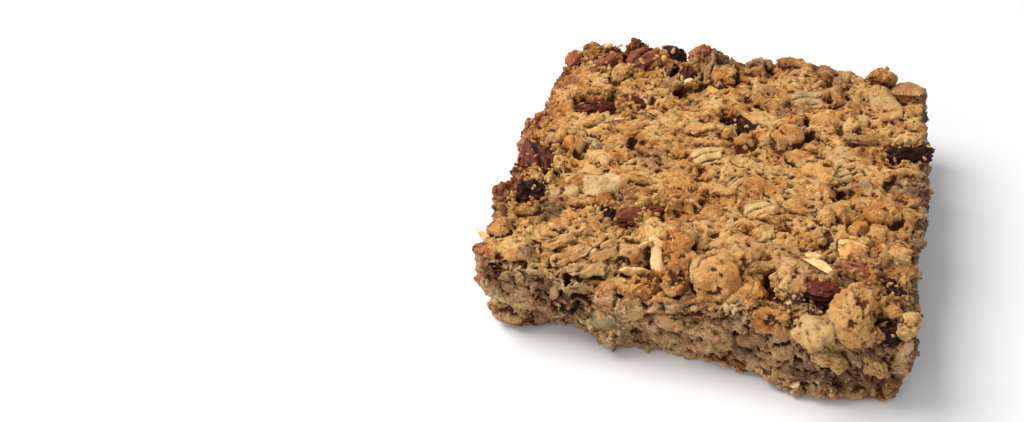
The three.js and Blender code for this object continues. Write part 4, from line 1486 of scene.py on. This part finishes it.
def dough_colour(f):
    """The colour of baked oat dough: crumbs from dark brown to straw, streaked with orange, then
    browned by toast, greyed where it is cut and where it is moister, greyed as painted shade where
    less light falls, darkened by painted shade in the hollows and crevices, and lit by a painted
    highlight on the rises."""
    shade = f.plus(f.times(f.noise(3000, 4, 0.8), 0.76), f.times(f.noise(420, 4, 0.6), 0.44))
    shade = f.plus(shade, f.times(f.noise(130, 3, 0.5), 0.42))
    shade = f.plus(shade, f.times(f.attribute("tone"), 0.24))
    shade = f.plus(shade, -0.15)
    sandy = f.steps(
        shade, (0.5, 128, 68, 26), (0.62, 180, 115, 55), (0.76, 213, 152, 85), (0.92, 240, 196, 129)
    )
    orange = f.ramp(f.noise(190, 3, 0.6, distortion=0.6), 0.52, 0.7, 0, 0.4)
    sandy = f.mix(orange, sandy, (204, 124, 50), "SOFT_LIGHT")
    mauve = f.ramp(f.noise(230, 4, 0.7, distortion=1.0), 0.52, 0.7, 0, 0.55)
    sandy = f.mix(mauve, sandy, (158, 114, 84))
    straw = f.ramp(f.noise(270, 3, 0.6, distortion=0.8), 0.52, 0.66, 0, 0.5)
    sandy = f.mix(straw, sandy, (222, 180, 116))
    sandy = f.mix(f.times(f.attribute("warm"), 0.55), sandy, (198, 112, 44))
    pale = f.mix(f.ramp(f.noise(700, 4, 0.7), 0.3, 0.7), (206, 166, 106), (240, 211, 152))
    brown = f.steps(shade, (0.5, 86, 36, 20), (0.7, 152, 85, 50), (0.9, 205, 140, 89))
    toast = f.attribute("toast")
    colour = f.mix(f.ramp(toast, 0.12, 0.7), sandy, brown)
    dark = f.steps(shade, (0.5, 44, 14, 8), (0.75, 106, 46, 30), (0.95, 162, 88, 60))
    toasted = f.plus(toast, f.times(f.noise(170), 0.5))
    colour = f.mix(f.ramp(toasted, 1.0, 1.5), colour, dark)
    grey = f.steps(
        shade, (0.5, 80, 48, 34), (0.64, 146, 104, 70), (0.78, 190, 145, 103), (0.93, 236, 200, 154)
    )
    lump_colour = f.steps(
        f.attribute("tone"),
        (0.2, 92, 58, 44),
        (0.36, 138, 96, 66),
        (0.5, 184, 132, 88),
        (0.64, 200, 156, 112),
        (0.84, 240, 210, 162),
    )
    grey = f.mix(0.36, grey, lump_colour)
    colour = f.mix(f.times(f.attribute("cut"), 0.8), colour, grey)
    colour = f.mix(f.attribute("pale"), colour, pale)
    # grey-brown where the dough is moister, and painted shade on the right side and where less light
    # falls
    moist_and_shaded = f.steps(shade, (0.5, 44, 26, 22), (0.75, 96, 68, 56), (0.95, 156, 122, 94))
    colour = f.mix(f.times(f.attribute("dusk"), 0.9), colour, moist_and_shaded)
    base = f.mix(f.ramp(f.cells(260), 0.1, 0.6), (196, 138, 80), (140, 80, 40))
    colour = f.mix(f.times(f.attribute("under"), 0.7), colour, base)
    specks = f.ramp(f.cells(620), 0.13, 0.22, 0.35, 0.0)
    colour = f.mix(f.times(specks, f.ramp(f.noise(340, 2), 0.42, 0.58)), colour, (92, 44, 20))
    bright = f.ramp(f.cells(900), 0.14, 0.26, 0.5, 0.0)
    speckled = f.plus(f.ramp(f.noise(260, 2), 0.46, 0.6), f.times(f.attribute("cut"), 0.5))
    colour = f.mix(f.times(bright, speckled), colour, (246, 216, 174))
    # painted shade in the hollows and rib grooves
    colour = f.mix(f.ramp(f.attribute("pit_shade"), 0.04, 0.55, 0, 0.92), colour, (76, 30, 8))
    # painted shade in the crevices, darker the deeper they go
    colour = f.mix(f.ramp(f.attribute("gap"), 0.9, 2.2, 0, 0.85), colour, (46, 16, 6))
    # painted highlight on the rises
    return f.mix(f.ramp(f.attribute("peak_highlight"), 0.25, 0.9, 0, 0.25), colour, (226, 178, 106))


def dough_finish():
    f = Finish("baked oat dough")
    f.soften()
    hole = f.ramp(f.cells(620), 0.1, 0.24)
    fine = f.plus(f.noise(3000, 4, 0.75), f.times(hole, 0.5))
    fine = f.plus(fine, f.times(f.noise(1200, 4, 0.7), 1.4))
    return f.done(dough_colour(f), 0.7, 0.12, fine, 0.00075)


def flake_finish():
    """Oat flakes: the dough's colours where coated, pale and faintly striped where clean."""
    f = Finish("rolled oat flake")
    f.soften()
    stripes = f.noise(1.2, 3, 0.55, vector=f.stretched((0.5, 2.6, 1.0)))
    striped = f.times(f.ramp(stripes, 0.4, 0.6, 0, 0.3), f.attribute("pale"))
    colour = f.mix(striped, dough_colour(f), (176, 124, 72))
    height = f.plus(f.times(stripes, 0.5), f.noise(2200))
    return f.done(colour, 0.65, 0.15, height, 0.0003)


def pecan_finish():
    f = Finish("toasted pecan skin")
    streak = f.noise(1.6, 4, 0.6, vector=f.stretched((0.35, 2.0, 2.0)))
    colour = f.mix(f.ramp(streak, 0.35, 0.7), (50, 13, 8), (108, 42, 26))
    # lighter pinkish patches at random: painted highlights
    colour = f.mix(f.ramp(f.noise(800, 4, 0.7), 0.54, 0.68, 0, 0.5), colour, (158, 96, 66))
    colour = f.mix(f.times(f.attribute("light"), 0.6), colour, (178, 108, 74))
    # painted shade in the groove and hollows
    colour = f.mix(f.ramp(f.attribute("pit_shade"), 0.1, 0.7, 0, 0.85), colour, (30, 10, 6))
    colour = f.mix(f.ramp(f.noise(420, 4, 0.75), 0.6, 0.66, 0, 0.7), colour, (196, 138, 78))
    height = f.plus(streak, f.times(f.noise(1500), 0.5))
    return f.done(colour, 0.4, 0.14, height, 0.0003, 0.8)


def raisin_finish():
    f = Finish("wrinkled raisin")
    streak = f.noise(420, 4, distortion=0.8)
    colour = f.mix(f.ramp(streak, 0.35, 0.7), (22, 8, 5), (62, 31, 22))
    colour = f.mix(f.ramp(f.noise(520, 4, 0.75), 0.61, 0.68, 0, 0.6), colour, (150, 104, 66))
    return f.done(colour, 0.42, 0.08, f.noise(1100, 4), 0.0003, 0.8)


def seed_finish():
    f = Finish("green pumpkin seed")
    colour = f.mix(f.ramp(f.noise(420, 4), 0.35, 0.65), (88, 72, 38), (146, 130, 78))
    colour = f.mix(f.ramp(f.noise(500, 4, 0.7), 0.54, 0.66, 0, 0.7), colour, (150, 112, 76))
    return f.done(colour, 0.45, 0.5, f.noise(1200), 0.0002, 0.6)


def almond_finish():
    f = Finish("roasted almond")
    colour = f.mix(f.ramp(f.noise(520, 4, 0.7), 0.35, 0.65), (206, 140, 66), (240, 190, 116))
    # painted shade in the dents
    colour = f.mix(f.ramp(f.attribute("pit_shade"), 0.1, 0.8, 0, 0.7), colour, (140, 76, 32))
    return f.done(colour, 0.42, 0.5, f.noise(1300, 4, 0.7), 0.0004)


# ================================ Nuts, raisins and seeds ================================
def node_frame(name):
    """A node's middle, axes as rows with the last one outwards, and half-lengths along them,
    from its own points, in millimetres."""
    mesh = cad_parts[name].data
    co = np.empty(len(mesh.vertices) * 3, np.float32)
    mesh.vertices.foreach_get("co", co)
    co = co.reshape(-1, 3).astype(float) / MM
    middle = (co.max(0) + co.min(0)) / 2
    _, _, axes = np.linalg.svd(co - co.mean(0), full_matrices=False)
    if axes[2] @ (middle * [0.25, 0.25, 1]) < 0:
        axes[2] *= -1
    axes[1] = np.cross(axes[2], axes[0])
    along = (co - middle) @ axes.T
    half = (along.max(0) - along.min(0)) / 2
    middle = middle + (along.max(0) + along.min(0)) / 2 @ axes
    return middle, axes, half


def lying(name):
    """How a nut lies in the dough: its middle, the ways along it, across it and out of the face
    that it is nearest to, and the half-lengths of its outline seen from outside.  An ellipsoid's
    outline is the ellipse whose squared half-lengths are the flattened ellipsoid's own."""
    middle, axes, half = node_frame(name)
    depths = [WIDTH / 2 + middle[0], DEPTH / 2 + middle[1], HEIGHT - middle[2]]
    out = np.array([[-1.0, 0, 0], [0, -1.0, 0], [0, 0, 1.0]])[np.argmin(depths)]
    flat = np.eye(3) - np.outer(out, out)
    squares, ways = np.linalg.eigh(flat @ (axes.T * half**2) @ axes @ flat)
    return middle, np.stack([ways[:, 2], ways[:, 1], out]), np.sqrt(squares[[2, 1]])


def set_in(name, shape, material):
    """A detailed piece in place of a node: a ball bent by shape() in the node's own frame.
    Returns places on it where crumbs lie, and the way out at each."""
    ball, faces = ball_grid(*NUT_DETAIL)
    middle, axes, half = node_frame(name)
    seed = rng.uniform(0, 40, 3)
    local, pit_shade = shape(ball, seed)
    low, high = local.min(0), local.max(0)
    local = (2 * local - low - high) / (high - low) * half
    spot = local @ axes + middle
    looks = {"local": local + seed, "pit_shade": pit_shade, "light": np.full(len(pit_shade), LIGHTER.get(name, 0.0))}
    piece = mesh_piece(name + "_piece", spot, faces, material, **looks)
    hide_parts(name)
    way_out = unit(ball / half) @ axes
    shows = np.flatnonzero(way_out @ lying(name)[1][2] > 0.1)
    chosen = rng.choice(shows, CRUMBY.get(name, CRUMBS_ON_NUT))
    return spot[chosen], way_out[chosen]


def broken(spot, seed, count):
    """The shape snapped off along `count` rough planes, each past a share of its reach."""
    for k in range(count):
        facing = unit(np.array([np.cos(seed[0] + 2.4 * k), np.sin(seed[1] + 2.4 * k), 0.4 * (k - 1)]))
        reach = 0.74 + 0.16 * np.sin(seed[2] + 3 * k) + 0.16 * drift(spot * 3 + seed, 28 + k)
        past = np.maximum(0, spot @ facing - reach)
        spot = spot - 0.85 * past[:, None] * facing
    return spot


def pecan_shape(d, seed):
    """A pecan fragment: two long lobes with a groove between them, lengthwise ridges, cross
    ripples and worn ends.  Also how deep each point is in a groove."""
    x, y, z = d.T
    turn = np.arctan2(z, y)
    groove = np.exp(-((y / 0.17) ** 2)) * (z > 0) * (1 - x**4)
    ridge = np.sin(7 * turn + 2.2 * np.sin(2.5 * x + seed[0]) + 1.1 * np.sin(6 * x + seed[1]))
    lump = 0.5 * drift(d * 2.0 + seed, 21) + 0.36 * drift(d * 4.5 + seed, 22)
    lump += 0.2 * drift(d * 10 + seed, 29) + 0.1 * drift(d * 20 + seed, 29)
    girth = 1 - 0.45 * groove + 0.07 * ridge + lump
    spot = np.column_stack([x * (1 + 0.3 * lump), y * (girth + 0.05), z * girth])
    spot = broken(spot, seed, 4)
    return spot, np.clip(groove - 0.3 * ridge - 1.8 * lump, 0, 1)


def raisin_shape(d, seed):
    """A raisin: an egg with deep wandering folds along its length.  Also how deep in a fold."""
    x, y, z = d.T
    turn = np.arctan2(z, y)
    fold = np.abs(np.sin(3.5 * turn + 2.5 * x + 1.8 * np.sin(4 * x + seed[0])))
    girth = 0.74 + 0.26 * fold**0.6 + 0.06 * np.sin(7 * x + seed[1])
    lump = 1 + 0.45 * drift(d * 2.0 + seed, 23) + 0.35 * drift(d * 4.5 + seed, 24)
    lump += 0.15 * drift(d * 11 + seed, 30)
    return np.column_stack([x * lump, y * girth * lump, z * girth * lump]), 1 - fold


def seed_shape(d, seed):
    """A pumpkin seed: a flat teardrop, swollen in the middle, with a faint rim."""
    x, y, z = d.T
    taper = 1 - 0.25 * x
    lump = 1 + 0.1 * drift(d * 3 + seed, 25)
    return np.column_stack([x, y * taper, z * taper * lump]), np.abs(y) ** 3


def almond_shape(d, seed):
    """A chip of almond: a chunk with blunt faces, snapped off along rough planes.  Also how deep
    each point is in a dent."""
    reach = (np.abs(d) ** 2.8).sum(1) ** (1 / 2.8)
    dent = 0.3 * drift(d * 2.6 + seed, 30) + 0.16 * drift(d * 7 + seed, 31)
    lump = 1 + 0.5 * drift(d * 1.2 + seed, 26) + dent
    spot = broken(d * (0.95 / reach * lump)[:, None], seed, 5)
    return spot, np.clip(-4 * dent, 0, 1)


# ================================ The scene ================================
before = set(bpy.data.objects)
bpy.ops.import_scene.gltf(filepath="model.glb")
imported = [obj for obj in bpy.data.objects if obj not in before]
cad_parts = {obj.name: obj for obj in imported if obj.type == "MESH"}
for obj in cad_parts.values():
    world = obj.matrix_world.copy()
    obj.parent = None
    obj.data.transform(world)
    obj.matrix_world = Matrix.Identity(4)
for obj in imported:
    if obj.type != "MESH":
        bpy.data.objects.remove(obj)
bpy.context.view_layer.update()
node_names = sorted(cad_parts)
set_in_names = [name for name in node_names if name != "oat_slab"]

dough_material = dough_finish()
crust, sides = make_dough(set_in_names)
for name, piece in (("dough_crust", crust), ("dough_sides", sides)):
    made = mesh_piece(name, piece.spot, [piece.quads, piece.fans], dough_material, **piece.looks)
    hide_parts("oat_slab")

ground = Ground(crust, sides, set_in_names)
flake_material = flake_finish()
placed_flakes(ground, "top", TOP_FLAKES, "top_flakes", flake_material)
placed_flakes(ground, "front", FRONT_FLAKES, "front_flakes", flake_material)
coated_flakes(ground, "top", COATED_TOP, "coated_top_flakes", dough_material)
coated_flakes(ground, "front", COATED_FRONT, "coated_front_flakes", dough_material)
upper = ground.clear & ~ground.under & (ground.looks["pale"] < 0.3) & (ground.looks["gap"] < 0.6)
rims = upper & (ground.looks["toast"] > 0.4) & (ground.spot[:, 2] > 3) & (ground.away > 1.7)
rim_clods(ground, ground.sites(6.8, rims), "toasted_clumps", dough_material)
rows = np.array(BOULDERS)
boulder_spot, boulder_out = clods(
    "heavy_clumps",
    dough_material,
    rows[:, :3],
    np.array([boulder_axes(row) for row in BOULDERS]),
    rows[:, 3:6],
    rows[:, 8],
    rows[:, 9],
    CLUMP_DETAIL,
    warm=rows[:, 10],
    pale=rows[:, 11],
    cut=0.15 * (rows[:, 2] < 18.5),
)
beside_nuts = ground.away < 1.3
cut_faces = ground.looks["cut"] > 0.5
# Each kind's name, spacing, where it lies, range of sizes, how much longer one way, share of its
# size that is sunk, degrees that it turns, and detail.
scattered = [
    ("oat_shreds", 2.5, upper, (0.16, 0.3), (1.8, 3.8), 0.5, 55, SHRED_DETAIL),
    ("crumbs", 3.2, upper, (0.25, 0.6), (1, 1.5), 0.5, 90, CRUMB_DETAIL),
    ("fine_crumbs", 1.5, upper, (0.12, 0.3), (1, 1.5), 0.2, 90, FINE_DETAIL),
    ("fine_crumbs_of_the_cuts", 0.9, upper & cut_faces, (0.1, 0.26), (1, 1.5), 0.2, 90, FINE_DETAIL),
    ("crumbs_round_nuts", 1.5, beside_nuts, (0.25, 0.6), (1, 1.8), 0.1, 90, CRUMB_DETAIL),
]
for name, spacing, where, sizes, stretches, sink, turn, detail in scattered:
    site = ground.sites(spacing, where)
    strewn_crumbs(ground, site, sizes, stretches, sink, turn, detail, name, dough_material)

makers = {
    "pecan": (pecan_shape, pecan_finish()),
    "raisin": (raisin_shape, raisin_finish()),
    "pumpkin": (seed_shape, seed_finish()),
    "almond": (almond_shape, almond_finish()),
}
chips = ground.nearest("top", GREEN_CHIPS)
crumbs(
    ground.level[chips] + 0.2 * ground.normal[chips],
    ground.normal[chips],
    np.array([1.0, 0.5, 0.5]),
    np.array([1.3, 1.4, 1.4]),
    40,
    CHIP_DETAIL,
    "green_chips",
    makers["pumpkin"][1],
    slot="seed",
)
tops = [set_in(name, *makers[name.split("_")[0]]) for name in set_in_names]
nut_crumbs = sum(len(spots) for spots, _ in tops)
upper_front = np.flatnonzero(boulder_out[:, 2] - boulder_out[:, 1] > 0.4)
on_boulders = rng.choice(upper_front, CRUMBS_ON_CLUMPS)
tops.append((boulder_spot[on_boulders], boulder_out[on_boulders]))
place, normal = (np.concatenate(parts) for parts in zip(*tops))
n = len(place)
on_nut = np.arange(n) < nut_crumbs
crumbs(
    place,
    normal,
    spread(0.14, 0.38, n) + on_nut * spread(-0.02, 0.3, n),
    spread(1.0, 2.0, n),
    90,
    CRUMB_DETAIL,
    "crumbs_on_clumps",
    dough_material,
    tone=spread(0.3, 0.9, n),
    toast=spread(0.0, 0.4, n),
    cut=0.4 * cut_at(normal),
)


# ================================ Stage, light and camera ================================
FLOOR_REACH = 900
FLOOR_COLOUR, FLOOR_ROUGHNESS = (0.68, 0.68, 0.69, 1), 0.5
# Each softbox: name, place and size in millimetres, power in watts, colour.
SOFTBOXES = [
    ("window", (-440, 0, 650), 500, 7.9, (1.0, 0.985, 0.96)),
    ("fill", (-260, -500, 300), 500, 1.45, (1.0, 0.99, 0.98)),
]
AIM = (0, 0, 0.01)  # metres
ROOM_COLOUR, ROOM_STRENGTH = (0.97, 0.985, 1.0, 1), 0.65
CAMERA_PLACE = (0.019147, -0.183808, 0.162523)  # metres
CAMERA_BEARING, CAMERA_TILT, CAMERA_ROLL = 19.75, 49.85, -3.96  # degrees
LENS, SENSOR = 36.92, 36
NEAREST_SEEN = 0.01  # metres


def stage():
    """A wide pale floor under the bar."""
    f = Finish("pale floor")
    f.surface.inputs["Base Color"].default_value = FLOOR_COLOUR
    f.surface.inputs["Roughness"].default_value = FLOOR_ROUGHNESS
    corners = np.array([[-1, -1, 0], [1, -1, 0], [1, 1, 0], [-1, 1, 0]]) * FLOOR_REACH
    floor = mesh_piece("floor", corners, [np.array([[0, 1, 2, 3]])], f.material)
    floor.parent = None


def softbox(name, place, size, power, colour):
    """A square light, aimed at the bar."""
    lamp = bpy.data.lights.new(name, "AREA")
    lamp.shape = "SQUARE"
    lamp.size = size * MM
    lamp.energy = power
    lamp.color = colour
    holder = bpy.data.objects.new(name, lamp)
    bpy.context.scene.collection.objects.link(holder)
    spot = np.array(place) * MM
    aim = unit(np.array(AIM) - spot)
    side = unit(np.cross(aim, [0, 0, 1]))
    up = np.cross(side, aim)
    turn = Matrix(np.column_stack([side, up, -aim]).tolist()).to_4x4()
    holder.matrix_world = Matrix.Translation(spot.tolist()) @ turn


def light():
    """The softboxes, and a little light from all round."""
    for box in SOFTBOXES:
        softbox(*box)
    world = bpy.data.worlds.new("room")
    world.use_nodes = True
    background = world.node_tree.nodes["Background"]
    background.inputs["Color"].default_value = ROOM_COLOUR
    background.inputs["Strength"].default_value = ROOM_STRENGTH
    bpy.context.scene.world = world
    bpy.context.scene.view_settings.view_transform = "Standard"


def camera():
    """The camera looks down on the bar from the front, a little to the right, slightly rolled."""
    lens = bpy.data.cameras.new("camera")
    lens.lens = LENS
    lens.sensor_width = SENSOR
    lens.clip_start = NEAREST_SEEN
    holder = bpy.data.objects.new("camera", lens)
    bpy.context.scene.collection.objects.link(holder)
    turn = (
        Matrix.Rotation(math.radians(CAMERA_BEARING), 4, "Z")
        @ Matrix.Rotation(math.radians(CAMERA_TILT), 4, "X")
        @ Matrix.Rotation(math.radians(CAMERA_ROLL), 4, "Z")
    )
    holder.matrix_world = Matrix.Translation(CAMERA_PLACE) @ turn
    bpy.context.scene.camera = holder


stage()
light()
camera()
